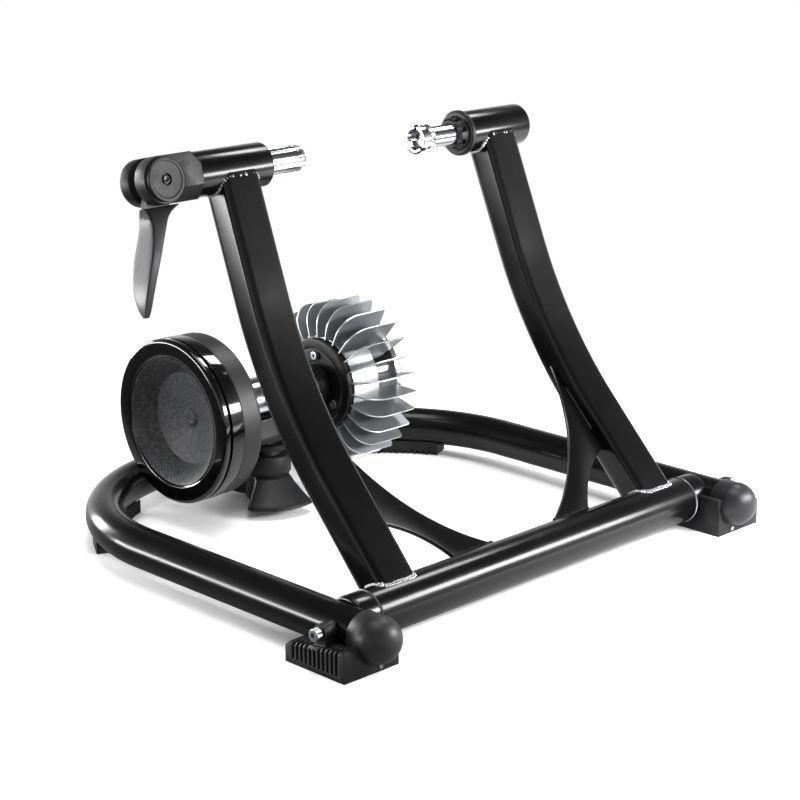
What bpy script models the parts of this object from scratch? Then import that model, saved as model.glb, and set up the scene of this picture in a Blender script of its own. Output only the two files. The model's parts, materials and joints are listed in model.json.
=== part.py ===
# Fluid bike trainer: a U-shaped base, a folding upright frame with axle clamps,
# and a resistance unit with flywheel, roller and finned fluid drum.
# X runs along the crossbar, Y from the crossbar back to the curve of the base, Z up.
# The origin is on the floor under the middle of the object. Sizes along Y are given
# from the crossbar's axis, and the whole object hangs from one empty that stands there.
import bpy
import bmesh
from math import cos, pi, radians, sin, sqrt, tan
from mathutils import Matrix, Vector

MM = 0.001
GAP = 0.3 * MM

# Place of the crossbar's axis from the middle of the object
CROSSBAR_Y = -193.0 * MM

# Base
TUBE_RADIUS = 19.05 * MM
TUBE_WALL = 1.8 * MM
PAD_HEIGHT = 9.8 * MM
LEG_SPACING = 485.0 * MM
CORNER_RADIUS = 175.0 * MM
LEG_FRONT = -43.0 * MM
REAR_LINE = 433.0 * MM
AXIS_Z = PAD_HEIGHT + TUBE_RADIUS
LEG_X = LEG_SPACING / 2
CORNER_Y = REAR_LINE - CORNER_RADIUS
CORNER_X = LEG_X - CORNER_RADIUS
STUB_ROOT = LEG_X - TUBE_RADIUS * 0.55

# End caps and front feet
CAP_SKIRT = 15.0 * MM
CAP_SKIN = 1.05 * MM
DOME_RADIUS = 21.0 * MM
FOOT_FRONT = -45.0 * MM
FOOT_LENGTH = 71.0 * MM
FOOT_OUTER = 37.2 * MM
FOOT_INNER = 24.8 * MM
FOOT_HEIGHT = 27.0 * MM
FOOT_REAR_HEIGHT = 17.5 * MM
FOOT_JAW_HEIGHT = 36.5 * MM
FOOT_WRAPPED_SLOTS = 5
FOOT_SLOTS = 11
FOOT_SLOT_PITCH = 5.2 * MM
FOOT_SLOT_WIDTH = 2.6 * MM
FOOT_SLOT_DEPTH = 2.2 * MM
CLAMP_BOLT_Y = -10.5 * MM
CLAMP_BOLT_Z = 33.5 * MM
CLAMP_BOLT_RADIUS = 3.0 * MM
CLAMP_HEAD_RADIUS = 5.6 * MM
CLAMP_HEAD_LENGTH = 7.0 * MM
FOOT_SCREW_RADIUS = 2.2 * MM
FOOT_SCREW_LENGTH = 11.0 * MM

# Rear pads
PAD_HALF_WIDTH = 13.0 * MM
PAD_START = 154.0
PAD_END = 113.5
PAD_SLOTS = 18
PAD_SLOT_WIDTH = 2.8 * MM
PAD_SLOT_DEPTH = 3.5 * MM

# Crossbar and its pivots
CROSSBAR_RADIUS = 21.75 * MM
CROSSBAR_WALL = 2.0 * MM
PIVOT_LENGTH = 31.05 * MM
CROSSBAR_HALF = LEG_X - PIVOT_LENGTH
WASHER_THICKNESS = 1.2 * MM
WASHER_RADIUS = 22.4 * MM
SPIGOT_LENGTH = 40.0 * MM
SPIGOT_WALL = 3.0 * MM

# Uprights
UPRIGHT_WIDTH = 42.5 * MM
UPRIGHT_DEPTH = 35.4 * MM
UPRIGHT_CORNER = 7.0 * MM
UPRIGHT_WALL = 2.0 * MM
LOWER_LEAN = 43.1
UPPER_LEAN = 21.6
BEND_HEIGHT = 116.3 * MM
BEND_RADIUS = 467.0 * MM
UPRIGHT_INSET = 36.25 * MM
UPRIGHT_TAPER = 7.8 * MM
UPRIGHT_FOOT_X = CROSSBAR_HALF - UPRIGHT_INSET
UPRIGHT_TOP_X = UPRIGHT_FOOT_X - UPRIGHT_TAPER
AXLE_Y = 220.0 * MM
AXLE_Z = 372.7 * MM

# Gussets
GUSSET_THICKNESS = 5.0 * MM
GUSSET_LOWER = 74.0 * MM
GUSSET_UPPER = 172.0 * MM
GUSSET_BAR_OUTER = UPRIGHT_FOOT_X - 84.2 * MM
GUSSET_BAR_INNER = UPRIGHT_FOOT_X - 134.2 * MM
GUSSET_OUTER_CURVE = 221.0 * MM
GUSSET_HOLE_CURVE = 125.0 * MM

# Left clamp
BARREL_RADIUS = 20.1 * MM
BARREL_WALL = 2.8 * MM
LEFT_BARREL_LENGTH = 82.0 * MM
LEFT_BARREL_INNER = 38.9 * MM - UPRIGHT_TOP_X
LEFT_BARREL_OUTER = LEFT_BARREL_INNER - LEFT_BARREL_LENGTH
PLUNGER_RADIUS = 12.7 * MM
PLUNGER_TIP = -83.3 * MM
PLUNGER_BUSH_LENGTH = 34.0 * MM
PLUNGER_FLUTES = 10
CAM_X = LEFT_BARREL_OUTER - 40.0 * MM
CAM_TILT = 13.0
HOUSING_RADIUS = 20.8 * MM
HOUSING_FLAT = 20.9 * MM
HOUSING_FRONT = 17.5 * MM
HOUSING_REAR = 18.8 * MM
CAM_SLOT_WIDTH = 9.2 * MM
CAM_SLOT_SHIFT = 1.3 * MM
CAM_RADIUS = 15.5 * MM
CAM_THROW = 8.5 * MM
CAM_CLEARANCE = 2.4 * MM
PLUNGER_TRAVEL = 10.1 * MM
CAM_PIN_RADIUS = 4.0 * MM
CAM_DISC_RADIUS = 19.2 * MM
CAM_DISC_THICKNESS = 3.5 * MM

# Right clamp
RIGHT_BARREL_LENGTH = 81.0 * MM
RIGHT_BARREL_INNER = UPRIGHT_TOP_X - 36.9 * MM
RIGHT_BARREL_OUTER = RIGHT_BARREL_INNER + RIGHT_BARREL_LENGTH
ROD_RADIUS = 10.0 * MM
ROD_END = RIGHT_BARREL_INNER + 53.5 * MM
CUP_TIP = 67.0 * MM
CUP_LENGTH = 17.0 * MM
CUP_RADIUS = 14.0 * MM
CUP_MOUTH = 9.0 * MM
CUP_NOTCHES = 3
INSERT_LENGTH = 44.0 * MM
NUT_LEFT = RIGHT_BARREL_INNER - 15.9 * MM
NUT_RADIUS = 17.0 * MM
NUT_FLANGE_RADIUS = 22.0 * MM
NUT_NOTCHES = 8
NUT_NOTCH_LENGTH = 8.5 * MM

# Resistance unit
ROLLER_Y = 349.4 * MM
ROLLER_Z = 107.2 * MM
SHAFT_RADIUS = 8.0 * MM
ROLLER_RADIUS = 23.5 * MM
ROLLER_LEFT = -57.0 * MM
ROLLER_RIGHT = 33.0 * MM
ARM_THICKNESS = 8.0 * MM
ARM_CLEARANCE = 1.2 * MM
ARM_RADIUS = 24.0 * MM
YOKE_FLOOR_Z = 71.3 * MM
YOKE_FLOOR_THICKNESS = 6.0 * MM
YOKE_FRONT = ROLLER_Y - 31.4 * MM
YOKE_REAR = ROLLER_Y + 34.6 * MM
YOKE_LIP_HEIGHT = 17.7 * MM
YOKE_LIP_THICKNESS = 5.0 * MM
FLYWHEEL_LEFT = -135.9 * MM
FLYWHEEL_WIDTH = 24.5 * MM
FLYWHEEL_RADIUS = 81.2 * MM
FLYWHEEL_RIM = 17.2 * MM
FLYWHEEL_DISH_RADIUS = FLYWHEEL_RADIUS - FLYWHEEL_RIM
FLYWHEEL_FLOOR_RADIUS = FLYWHEEL_DISH_RADIUS - 17.0 * MM
FLYWHEEL_DISH_DEPTH = 21.5 * MM
HUB_BUMP = 1.5 * MM
FLYWHEEL_GROOVE = 3.4 * MM
LINER_THICKNESS = 0.9 * MM
LINER_LIP = 2.0 * MM
SHROUD_RADIUS = FLYWHEEL_RADIUS - 3 * GAP
SHROUD_WIDTH = 24.2 * MM
SHROUD_WALL = 2.6 * MM
SHROUD_CORNER = 6.0 * MM
CARRIER_RADIUS = 25.6 * MM
CARRIER_SPIGOT = 20.0 * MM
BEARING_RADIUS = 16.0 * MM
BEARING_WIDTH = 11.0 * MM
END_PLATE_LEFT = 55.7 * MM
END_PLATE_THICKNESS = 6.0 * MM
END_PLATE_RADIUS = 48.3 * MM
END_SCREW_CIRCLE = 31.0 * MM
END_SCREW_RADIUS = 2.3 * MM
END_SCREW_HEAD = 4.4 * MM
DRUM_RADIUS = 50.0 * MM
DRUM_WALL = 3.5 * MM
DRUM_RIGHT = 122.0 * MM
FIN_COUNT = 27
FIN_PHASE = 0.91
FIN_THICKNESS = 1.8 * MM
FIN_RADIUS = 83.4 * MM
FIN_LEFT = 58.0 * MM
FIN_RIGHT = 119.3 * MM
FIN_LEADING_CORNER = 22.0 * MM
FIN_TRAILING_CORNER = 3.0 * MM
COVER_THICKNESS = 7.0 * MM
COVER_SCREW_CIRCLE = 46.0 * MM
COVER_SCREW_ANGLE = 163.0
SEAL_RADIUS = 13.0 * MM
SEAL_WIDTH = 4.0 * MM
IMPELLER_RADIUS = 42.0 * MM
IMPELLER_LEFT = 70.0 * MM
IMPELLER_WIDTH = 30.0 * MM
IMPELLER_VANES = 8

# Bracket, its pivot and the tension knob
BRACKET_X = -24.0 * MM
BRACKET_HALF = 20.0 * MM
BRACKET_Z = 61.0 * MM
BRACKET_THICKNESS = 5.0 * MM
PIVOT_Y = YOKE_REAR + 20.0 * MM
PIVOT_Z = 76.0 * MM
PIVOT_RADIUS = 4.0 * MM
EAR_THICKNESS = 5.0 * MM
EAR_RADIUS = 10.0 * MM
LUG_RADIUS = 9.0 * MM
KNOB_Y = 337.0 * MM
KNOB_BOTTOM = 9.0 * MM
KNOB_SKIRT_HEIGHT = 25.5 * MM
KNOB_COLLAR_HEIGHT = 20.5 * MM
KNOB_COLLAR_RADIUS = 24.0 * MM
KNOB_NECK_RADIUS = 15.0 * MM
KNOB_LOBE_RADIUS = 53.0 * MM
KNOB_LOBE_ANGLE = 247.0
SCREW_RADIUS = 5.0 * MM
SCREW_BOTTOM = 17.0 * MM

# Facet counts of round pieces
SMALL_SIDES = 12
TUBE_SIDES = 16
RING_SIDES = 24
BARREL_SIDES = 24
WHEEL_SIDES = 36
CORNER_STEPS = 10
BEND_STEPS = 7


# Places that follow from the sizes above
def upright_path():
    lower = radians(LOWER_LEAN)
    upper = radians(UPPER_LEAN)
    y = (BEND_HEIGHT - AXIS_Z) * tan(lower)
    points = [(0.0, AXIS_Z, lower), (y, BEND_HEIGHT, lower)]
    for step in range(1, BEND_STEPS + 1):
        lean = lower + (upper - lower) * step / BEND_STEPS
        points.append((y + BEND_RADIUS * (cos(lean) - cos(lower)),
                       BEND_HEIGHT + BEND_RADIUS * (sin(lower) - sin(lean)), lean))
    y, z, lean = points[-1]
    points.append((y + (AXLE_Z - z) * tan(upper), AXLE_Z, upper))
    return points


ROLLER_MIDDLE = (ROLLER_LEFT + ROLLER_RIGHT) / 2
FLYWHEEL_RIGHT = FLYWHEEL_LEFT + FLYWHEEL_WIDTH
SHROUD_LEFT = FLYWHEEL_RIGHT + 2 * GAP
SHROUD_RIGHT = SHROUD_LEFT + SHROUD_WIDTH
LEFT_ARM = ROLLER_LEFT - ARM_CLEARANCE - ARM_THICKNESS
RIGHT_ARM = ROLLER_RIGHT + ARM_CLEARANCE
DRUM_LEFT = END_PLATE_LEFT + END_PLATE_THICKNESS + GAP
COVER_LEFT = DRUM_RIGHT + GAP
CAM_SLOT_Y = AXLE_Y + CAM_SLOT_SHIFT
BARREL_LINE = Vector((0, AXLE_Y, AXLE_Z))
SHAFT_BORE = SHAFT_RADIUS + GAP

# Each moving group hangs from an empty that stands on its joint's axis.
BODY_ORIGINS = {
    "base": (0, 0, 0),
    "upright_frame": (0, 0, AXIS_Z),
    "clamp_lever": (CAM_X, AXLE_Y, AXLE_Z),
    "clamp_plunger_slide": (PLUNGER_TIP, AXLE_Y, AXLE_Z),
    "axle_cup_slide": (CUP_TIP, AXLE_Y, AXLE_Z),
    "lock_nut_spin": (NUT_LEFT, AXLE_Y, AXLE_Z),
    "resistance_unit": (BRACKET_X, PIVOT_Y, PIVOT_Z),
    "rotor": (ROLLER_MIDDLE, ROLLER_Y, ROLLER_Z),
    "knob": (BRACKET_X, KNOB_Y, KNOB_BOTTOM),
    "tension_screw_slide": (BRACKET_X, KNOB_Y, SCREW_BOTTOM),
}


def clear_scene():
    for item in list(bpy.data.objects):
        bpy.data.objects.remove(item, do_unlink=True)


def make_finish(name, colour, roughness, metallic):
    material = bpy.data.materials.new(name)
    material.use_nodes = True
    shader = material.node_tree.nodes["Principled BSDF"]
    shader.inputs["Base Color"].default_value = (*colour, 1.0)
    shader.inputs["Roughness"].default_value = roughness
    shader.inputs["Metallic"].default_value = metallic
    material.diffuse_color = (*colour, 1.0)
    return material


# Colour, roughness and metallic value of each finish
FINISHES = {
    "black_paint": ((0.012, 0.012, 0.013), 0.28, 0.0),
    "black_plastic": ((0.022, 0.022, 0.023), 0.55, 0.0),
    "black_rubber": ((0.016, 0.016, 0.016), 0.85, 0.0),
    "flywheel_enamel": ((0.010, 0.010, 0.011), 0.15, 0.0),
    "woven_mesh": ((0.090, 0.090, 0.095), 0.60, 0.4),
    "chrome": ((0.800, 0.800, 0.820), 0.10, 1.0),
    "polished_aluminium": ((0.720, 0.720, 0.730), 0.22, 1.0),
    "zinc_plate": ((0.560, 0.560, 0.570), 0.35, 1.0),
}


# Put a mesh that was built in world coordinates on its body, with the origin at the given place.
def add_piece(name, mesh, finish, body, at=None):
    anchor = Vector(BODY_ORIGINS[body])
    origin = Vector(at) if at is not None else anchor
    bmesh.ops.translate(mesh, verts=mesh.verts, vec=-origin)
    data = bpy.data.meshes.new(name)
    mesh.to_mesh(data)
    mesh.free()
    data.shade_smooth()
    data.set_sharp_from_angle(angle=radians(32))
    piece = bpy.data.objects.new(name, data)
    bpy.context.collection.objects.link(piece)
    piece.parent = bpy.data.objects[body]
    piece.location = origin - anchor
    if finish is not None:
        data.materials.append(bpy.data.materials[finish])
    return piece


# Apply a second mesh, in world coordinates, to a piece as a Boolean with a hidden tool object.
def combine(piece, mesh, operation):
    body = piece.parent.name
    count = len(piece.modifiers) + 1
    tool = add_piece(f"{piece.name}_tool_{count}", mesh, None, body)
    tool.hide_render = True
    tool.display_type = "WIRE"
    boolean = piece.modifiers.new(f"{operation.lower()}_{count}", "BOOLEAN")
    boolean.operation = operation
    boolean.object = tool
    boolean.solver = "EXACT"
    return piece


def tidy(mesh):
    bmesh.ops.remove_doubles(mesh, verts=mesh.verts, dist=1e-6)
    bmesh.ops.dissolve_degenerate(mesh, edges=mesh.edges, dist=1e-6)
    bmesh.ops.recalc_face_normals(mesh, faces=mesh.faces)
    return mesh


# Unit vectors along and across the axis of a turned piece
TURN_AXES = {
    "X": (Vector((1, 0, 0)), Vector((0, 0, 1))),
    "Y": (Vector((0, 1, 0)), Vector((0, 0, 1))),
    "Z": (Vector((0, 0, 1)), Vector((1, 0, 0))),
}


# Spin a profile of (distance along the axis, radius) pairs. A ring's profile is closed.
def turned(profile, centre, axis="X", sides=BARREL_SIDES, ring=False):
    along, across = TURN_AXES[axis]
    mesh = bmesh.new()
    points = [mesh.verts.new(along * place + across * radius) for place, radius in profile]
    edges = [mesh.edges.new(pair) for pair in zip(points, points[1:])]
    if ring:
        edges.append(mesh.edges.new((points[-1], points[0])))
    bmesh.ops.spin(mesh, geom=points + edges, cent=(0, 0, 0), axis=along, angle=2 * pi,
                   steps=sides, use_merge=True)
    bmesh.ops.translate(mesh, verts=mesh.verts, vec=centre)
    return tidy(mesh)


# Join rings of equally many points. A closed loft runs back into its first ring.
def loft(rings, closed=False):
    mesh = bmesh.new()
    loops = [[mesh.verts.new(point) for point in ring] for ring in rings]
    following = loops[1:] + loops[:1] if closed else loops[1:]
    for near, far in zip(loops, following):
        for index in range(len(near)):
            after = (index + 1) % len(near)
            mesh.faces.new((near[index], near[after], far[after], far[index]))
    if not closed:
        mesh.faces.new(loops[0])
        mesh.faces.new(loops[-1])
    return tidy(mesh)


# Push a flat outline of 3-D points along a vector.
def extruded(outline, push):
    mesh = bmesh.new()
    face = mesh.faces.new([mesh.verts.new(point) for point in outline])
    grown = bmesh.ops.extrude_face_region(mesh, geom=[face])
    moved = [item for item in grown["geom"] if isinstance(item, bmesh.types.BMVert)]
    bmesh.ops.translate(mesh, verts=moved, vec=push)
    return tidy(mesh)


def add_block(mesh, low, high, turn=None):
    low = Vector(low)
    high = Vector(high)
    place = Matrix.Translation((low + high) / 2)
    if turn is not None:
        place = turn @ place
    size = high - low
    bmesh.ops.create_cube(mesh, size=1.0, matrix=place @ Matrix.Diagonal((*size, 1.0)))
    return mesh


def block(low, high):
    return add_block(bmesh.new(), low, high)


def add_bar(mesh, start, end, radius, sides=SMALL_SIDES):
    start = Vector(start)
    end = Vector(end)
    span = end - start
    turn = Vector((0, 0, 1)).rotation_difference(span).to_matrix().to_4x4()
    place = Matrix.Translation((start + end) / 2) @ turn
    bmesh.ops.create_cone(mesh, cap_ends=True, segments=sides, radius1=radius, radius2=radius,
                          depth=span.length, matrix=place)
    return mesh


def bar(start, end, radius, sides=SMALL_SIDES):
    return add_bar(bmesh.new(), start, end, radius, sides)


def arc(centre, radius, first, last, steps):
    angles = [first + (last - first) * step / steps for step in range(steps + 1)]
    return [(centre[0] + radius * cos(angle), centre[1] + radius * sin(angle)) for angle in angles]


# Arc of a given radius from one 2-D point to another, bulging to the left of the way there
def arc_between(start, end, radius, steps):
    start = Vector(start)
    end = Vector(end)
    chord = end - start
    side = Vector((-chord.y, chord.x)).normalized()
    centre = (start + end) / 2 - side * sqrt(radius ** 2 - (chord.length / 2) ** 2)
    first = start - centre
    sweep = first.angle_signed(end - centre)
    turn = [Matrix.Rotation(-sweep * step / steps, 2) @ first + centre for step in range(steps + 1)]
    return [(point.x, point.y) for point in turn]


# Hex socket, screw head and shank along an axis; the head's face is at the far end.
def socket_screw(name, face, inward, head_radius, head_length, shank_radius, length, body, socket):
    face = Vector(face)
    inward = Vector(inward)
    axis = "X" if abs(inward.x) > 0.5 else "Y"
    way = inward.x + inward.y
    profile = [(0, 0), (0, head_radius * 0.86), (way * head_radius * 0.14, head_radius),
               (way * head_length, head_radius), (way * head_length, shank_radius),
               (way * length, shank_radius), (way * length, 0)]
    screw = add_piece(name, turned(profile, face, axis, SMALL_SIDES), "zinc_plate", body, face)
    recess = bar(face - inward * MM, face + inward * head_length * 0.6, socket, 6)
    return combine(screw, recess, "DIFFERENCE")


# Base: bent tube

def tube_section(point, direction, radius):
    aside = Vector((direction.y, -direction.x, 0))
    up = Vector((0, 0, 1))
    angles = [2 * pi * step / TUBE_SIDES for step in range(TUBE_SIDES)]
    return [point + aside * radius * cos(angle) + up * radius * sin(angle) for angle in angles]


def base_path():
    steps = CORNER_STEPS
    path = [(Vector((-LEG_X, LEG_FRONT, AXIS_Z)), Vector((0, 1, 0)))]
    for middle, first in ((-CORNER_X, 180), (CORNER_X, 90)):
        for step in range(steps + 1):
            angle = radians(first - 90 * step / steps)
            outward = Vector((cos(angle), sin(angle), 0))
            centre = Vector((middle, CORNER_Y, AXIS_Z))
            path.append((centre + outward * CORNER_RADIUS, Vector((outward.y, -outward.x, 0))))
    path.append((Vector((LEG_X, LEG_FRONT, AXIS_Z)), Vector((0, -1, 0))))
    return path


def make_base_tube():
    path = base_path()
    outside = [tube_section(point, way, TUBE_RADIUS) for point, way in path]
    inside = [tube_section(point, way, TUBE_RADIUS - TUBE_WALL) for point, way in path]
    add_piece("base_tube", loft(outside + inside[::-1], closed=True), "black_paint", "base")


# Plastic cap with a skirt over the tube's end and a ball-shaped nose
def make_end_cap(side, name):
    skirt = TUBE_RADIUS + GAP
    rim = LEG_FRONT - 2 * MM
    nose = [(rim - DOME_RADIUS * sin(angle), DOME_RADIUS * cos(angle))
            for angle in [radians(90 - 18 * step) for step in range(6)]]
    nose[0] = (nose[0][0], 0)
    profile = nose + [(rim, skirt + CAP_SKIN), (LEG_FRONT + CAP_SKIRT, skirt + CAP_SKIN),
                      (LEG_FRONT + CAP_SKIRT, skirt), (LEG_FRONT - GAP, skirt), (LEG_FRONT - GAP, 0)]
    centre = (side * LEG_X, 0, AXIS_Z)
    add_piece(name, turned(profile, centre, "Y", RING_SIDES), "black_plastic", "base", centre)


# Front feet: ribbed blocks that cradle the tube, each held by a clamp bolt

def make_front_foot(side, label):
    outer = side * (LEG_X + FOOT_OUTER)
    inner = side * (LEG_X - FOOT_INNER)
    back = FOOT_FRONT + FOOT_LENGTH
    cradle = TUBE_RADIUS + CAP_SKIN + 3 * GAP
    low_x = min(outer, inner)
    high_x = max(outer, inner)
    mesh = block((low_x, FOOT_FRONT, 0), (high_x, back, FOOT_HEIGHT))
    for corner in mesh.verts:
        if corner.co.z > 0 and corner.co.y > 0:
            corner.co.z = FOOT_REAR_HEIGHT
    edges = [edge for edge in mesh.edges if min(corner.co.z for corner in edge.verts) > 0]
    bmesh.ops.bevel(mesh, geom=edges, offset=2.5 * MM, segments=1, profile=0.5, affect="EDGES")
    foot = add_piece(f"{label}_front_foot", tidy(mesh), "black_plastic", "base", (side * LEG_X, 0, 0))
    jaw_x = side * (LEG_X - 12 * MM)
    jaw = block((min(inner, jaw_x), FOOT_FRONT + MM, 3 * MM),
                (max(inner, jaw_x), back - MM, FOOT_JAW_HEIGHT))
    combine(foot, jaw, "UNION")
    boss_radius = CLAMP_HEAD_RADIUS + 2 * MM
    boss_outer = outer - side * 5 * MM
    boss = bar((boss_outer, CLAMP_BOLT_Y, CLAMP_BOLT_Z),
               (side * (LEG_X + 12 * MM), CLAMP_BOLT_Y, CLAMP_BOLT_Z), boss_radius)
    combine(foot, boss, "UNION")
    web_low = min(boss_outer + side * 0.5 * MM, side * (LEG_X + 13 * MM))
    web_high = max(boss_outer + side * 0.5 * MM, side * (LEG_X + 13 * MM))
    web_half = boss_radius * 0.9
    web = block((web_low + MM * 0.6, CLAMP_BOLT_Y - web_half, FOOT_REAR_HEIGHT / 2),
                (web_high - MM * 0.6, CLAMP_BOLT_Y + web_half, CLAMP_BOLT_Z))
    combine(foot, web, "UNION")
    bed = bar((side * LEG_X, FOOT_FRONT - 9 * MM, AXIS_Z),
              (side * LEG_X, back + 9 * MM, AXIS_Z), cradle, RING_SIDES)
    combine(foot, bed, "DIFFERENCE")
    stub_bed = bar((side * (STUB_ROOT + GAP), 0, AXIS_Z), (inner - side * 9 * MM, 0, AXIS_Z),
                   CROSSBAR_RADIUS + GAP, RING_SIDES)
    combine(foot, stub_bed, "DIFFERENCE")
    slots = bmesh.new()
    for index in range(FOOT_SLOTS):
        y = FOOT_FRONT + FOOT_LENGTH / 2 + (index - (FOOT_SLOTS - 1) / 2) * FOOT_SLOT_PITCH
        crest = FOOT_HEIGHT + (FOOT_REAR_HEIGHT - FOOT_HEIGHT) * (y - FOOT_FRONT) / FOOT_LENGTH
        top = FOOT_HEIGHT + MM if index < FOOT_WRAPPED_SLOTS else crest - 3.5 * MM
        face = sorted((outer + side * MM, outer - side * FOOT_SLOT_DEPTH))
        add_block(slots, (face[0], y - FOOT_SLOT_WIDTH / 2, 5 * MM),
                  (face[1], y + FOOT_SLOT_WIDTH / 2, top))
    combine(foot, slots, "DIFFERENCE")
    hole = bar((outer + side * 9 * MM, CLAMP_BOLT_Y, CLAMP_BOLT_Z),
               (side * LEG_X, CLAMP_BOLT_Y, CLAMP_BOLT_Z), CLAMP_BOLT_RADIUS + GAP)
    screw_x = side * (LEG_X - 3.8 * MM)
    screw_z = 4.3 * MM
    add_bar(hole, (screw_x, FOOT_FRONT - MM, screw_z),
            (screw_x, FOOT_FRONT + FOOT_SCREW_LENGTH, screw_z), FOOT_SCREW_RADIUS + GAP, 12)
    combine(foot, hole, "DIFFERENCE")

    head = boss_outer + side * (CLAMP_HEAD_LENGTH + GAP)
    reach = sqrt(TUBE_RADIUS ** 2 - (CLAMP_BOLT_Z - AXIS_Z) ** 2) + 2 * GAP
    socket_screw(f"{label}_foot_clamp_bolt", (head, CLAMP_BOLT_Y, CLAMP_BOLT_Z), (-side, 0, 0),
                 CLAMP_HEAD_RADIUS, CLAMP_HEAD_LENGTH, CLAMP_BOLT_RADIUS,
                 abs(head) - LEG_X - reach - 0.8 * MM, "base", 2.6 * MM)
    pin = bar((screw_x, FOOT_FRONT - MM, screw_z),
              (screw_x, FOOT_FRONT + FOOT_SCREW_LENGTH - GAP, screw_z), FOOT_SCREW_RADIUS, 12)
    add_piece(f"{label}_foot_pin", pin, "zinc_plate", "base", (screw_x, FOOT_FRONT, screw_z))


# Rear pads follow the corners of the base tube and lift it off the floor.
def make_rear_pad(side, name):
    bed = TUBE_RADIUS + GAP
    offsets = [PAD_HALF_WIDTH * share for share in (1, 0.67, 0.34, 0, -0.34, -0.67, -1)]
    section = [(-PAD_HALF_WIDTH, 0.0), (PAD_HALF_WIDTH, 0.0)]
    section += [(offset, AXIS_Z - sqrt(bed ** 2 - offset ** 2)) for offset in offsets]
    centre = Vector((-CORNER_X, CORNER_Y, 0))
    facet = 90 / CORNER_STEPS
    bends = [180 - facet * step for step in range(CORNER_STEPS)]
    rings = []
    for degrees in [PAD_START] + [bend for bend in bends if PAD_END < bend < PAD_START] + [PAD_END]:
        angle = radians(degrees)
        middle = radians((degrees // facet + 0.5) * facet)
        shrink = cos(radians(facet / 2)) / cos(angle - middle)
        outward = Vector((cos(angle), sin(angle), 0)) * shrink
        rings.append([centre + outward * (CORNER_RADIUS + offset) + Vector((0, 0, height))
                      for offset, height in section])
    slots = bmesh.new()
    for index in range(PAD_SLOTS):
        angle = radians(PAD_START + (PAD_END - PAD_START) * (index + 0.5) / PAD_SLOTS)
        turn = Matrix.Translation(centre) @ Matrix.Rotation(angle, 4, "Z")
        add_block(slots, (CORNER_RADIUS - PAD_HALF_WIDTH - MM, -PAD_SLOT_WIDTH / 2, -MM),
                  (CORNER_RADIUS + PAD_HALF_WIDTH + MM, PAD_SLOT_WIDTH / 2, PAD_SLOT_DEPTH), turn)
    pad = loft(rings)
    if side > 0:
        for mesh in (pad, slots):
            bmesh.ops.scale(mesh, vec=(-1, 1, 1), verts=mesh.verts)
            bmesh.ops.reverse_faces(mesh, faces=mesh.faces)
    combine(add_piece(name, pad, "black_rubber", "base"), slots, "DIFFERENCE")


# Stubs welded to the legs carry the folding crossbar on their spigots.
def make_pivot_stub(side, label):
    shoulder = CROSSBAR_HALF + WASHER_THICKNESS + 2 * GAP
    spigot = CROSSBAR_RADIUS - CROSSBAR_WALL - GAP
    root = STUB_ROOT
    floor = LEG_X - TUBE_RADIUS - 5 * MM
    profile = [(root, 0), (root, CROSSBAR_RADIUS), (shoulder, CROSSBAR_RADIUS), (shoulder, spigot),
               (CROSSBAR_HALF - SPIGOT_LENGTH, spigot),
               (CROSSBAR_HALF - SPIGOT_LENGTH, spigot - SPIGOT_WALL),
               (floor, spigot - SPIGOT_WALL), (floor, 0)]
    profile = [(side * place, radius) for place, radius in profile]
    centre = (0, 0, AXIS_Z)
    stub = turned(profile, centre, sides=RING_SIDES)
    stub = add_piece(f"{label}_pivot_stub", stub, "black_paint", "base", centre)
    half = CROSSBAR_RADIUS * 2
    leg = bar((side * LEG_X, -half, AXIS_Z), (side * LEG_X, half, AXIS_Z), TUBE_RADIUS + GAP, RING_SIDES)
    combine(stub, leg, "DIFFERENCE")
    inner = side * (CROSSBAR_HALF + GAP)
    outer = side * (CROSSBAR_HALF + GAP + WASHER_THICKNESS)
    bore = spigot + GAP
    ring = [(inner, bore), (inner, WASHER_RADIUS), (outer, WASHER_RADIUS), (outer, bore)]
    washer = turned(ring, centre, sides=RING_SIDES, ring=True)
    add_piece(f"{label}_pivot_washer", washer, "zinc_plate", "base", centre)


# Upright frame: crossbar, uprights, gussets and barrels

def make_crossbar():
    bore = CROSSBAR_RADIUS - CROSSBAR_WALL
    ring = [(-CROSSBAR_HALF, bore), (-CROSSBAR_HALF, CROSSBAR_RADIUS),
            (CROSSBAR_HALF, CROSSBAR_RADIUS), (CROSSBAR_HALF, bore)]
    add_piece("crossbar", turned(ring, (0, 0, AXIS_Z), ring=True), "black_paint", "upright_frame")


def upright_x(height):
    share = (height - AXIS_Z) / (AXLE_Z - AXIS_Z)
    return UPRIGHT_FOOT_X + (UPRIGHT_TOP_X - UPRIGHT_FOOT_X) * share


# Rounded rectangle, as offsets across the crossbar's direction and across the upright
def upright_section(shrink):
    half_width = UPRIGHT_WIDTH / 2 - shrink
    half_depth = UPRIGHT_DEPTH / 2 - shrink
    corner = UPRIGHT_CORNER - shrink
    outline = []
    for quarter, (sign_x, sign_y) in enumerate(((1, 1), (-1, 1), (-1, -1), (1, -1))):
        centre = (sign_x * (half_width - corner), sign_y * (half_depth - corner))
        outline += arc(centre, corner, quarter * pi / 2, (quarter + 1) * pi / 2, 3)
    return outline


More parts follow.
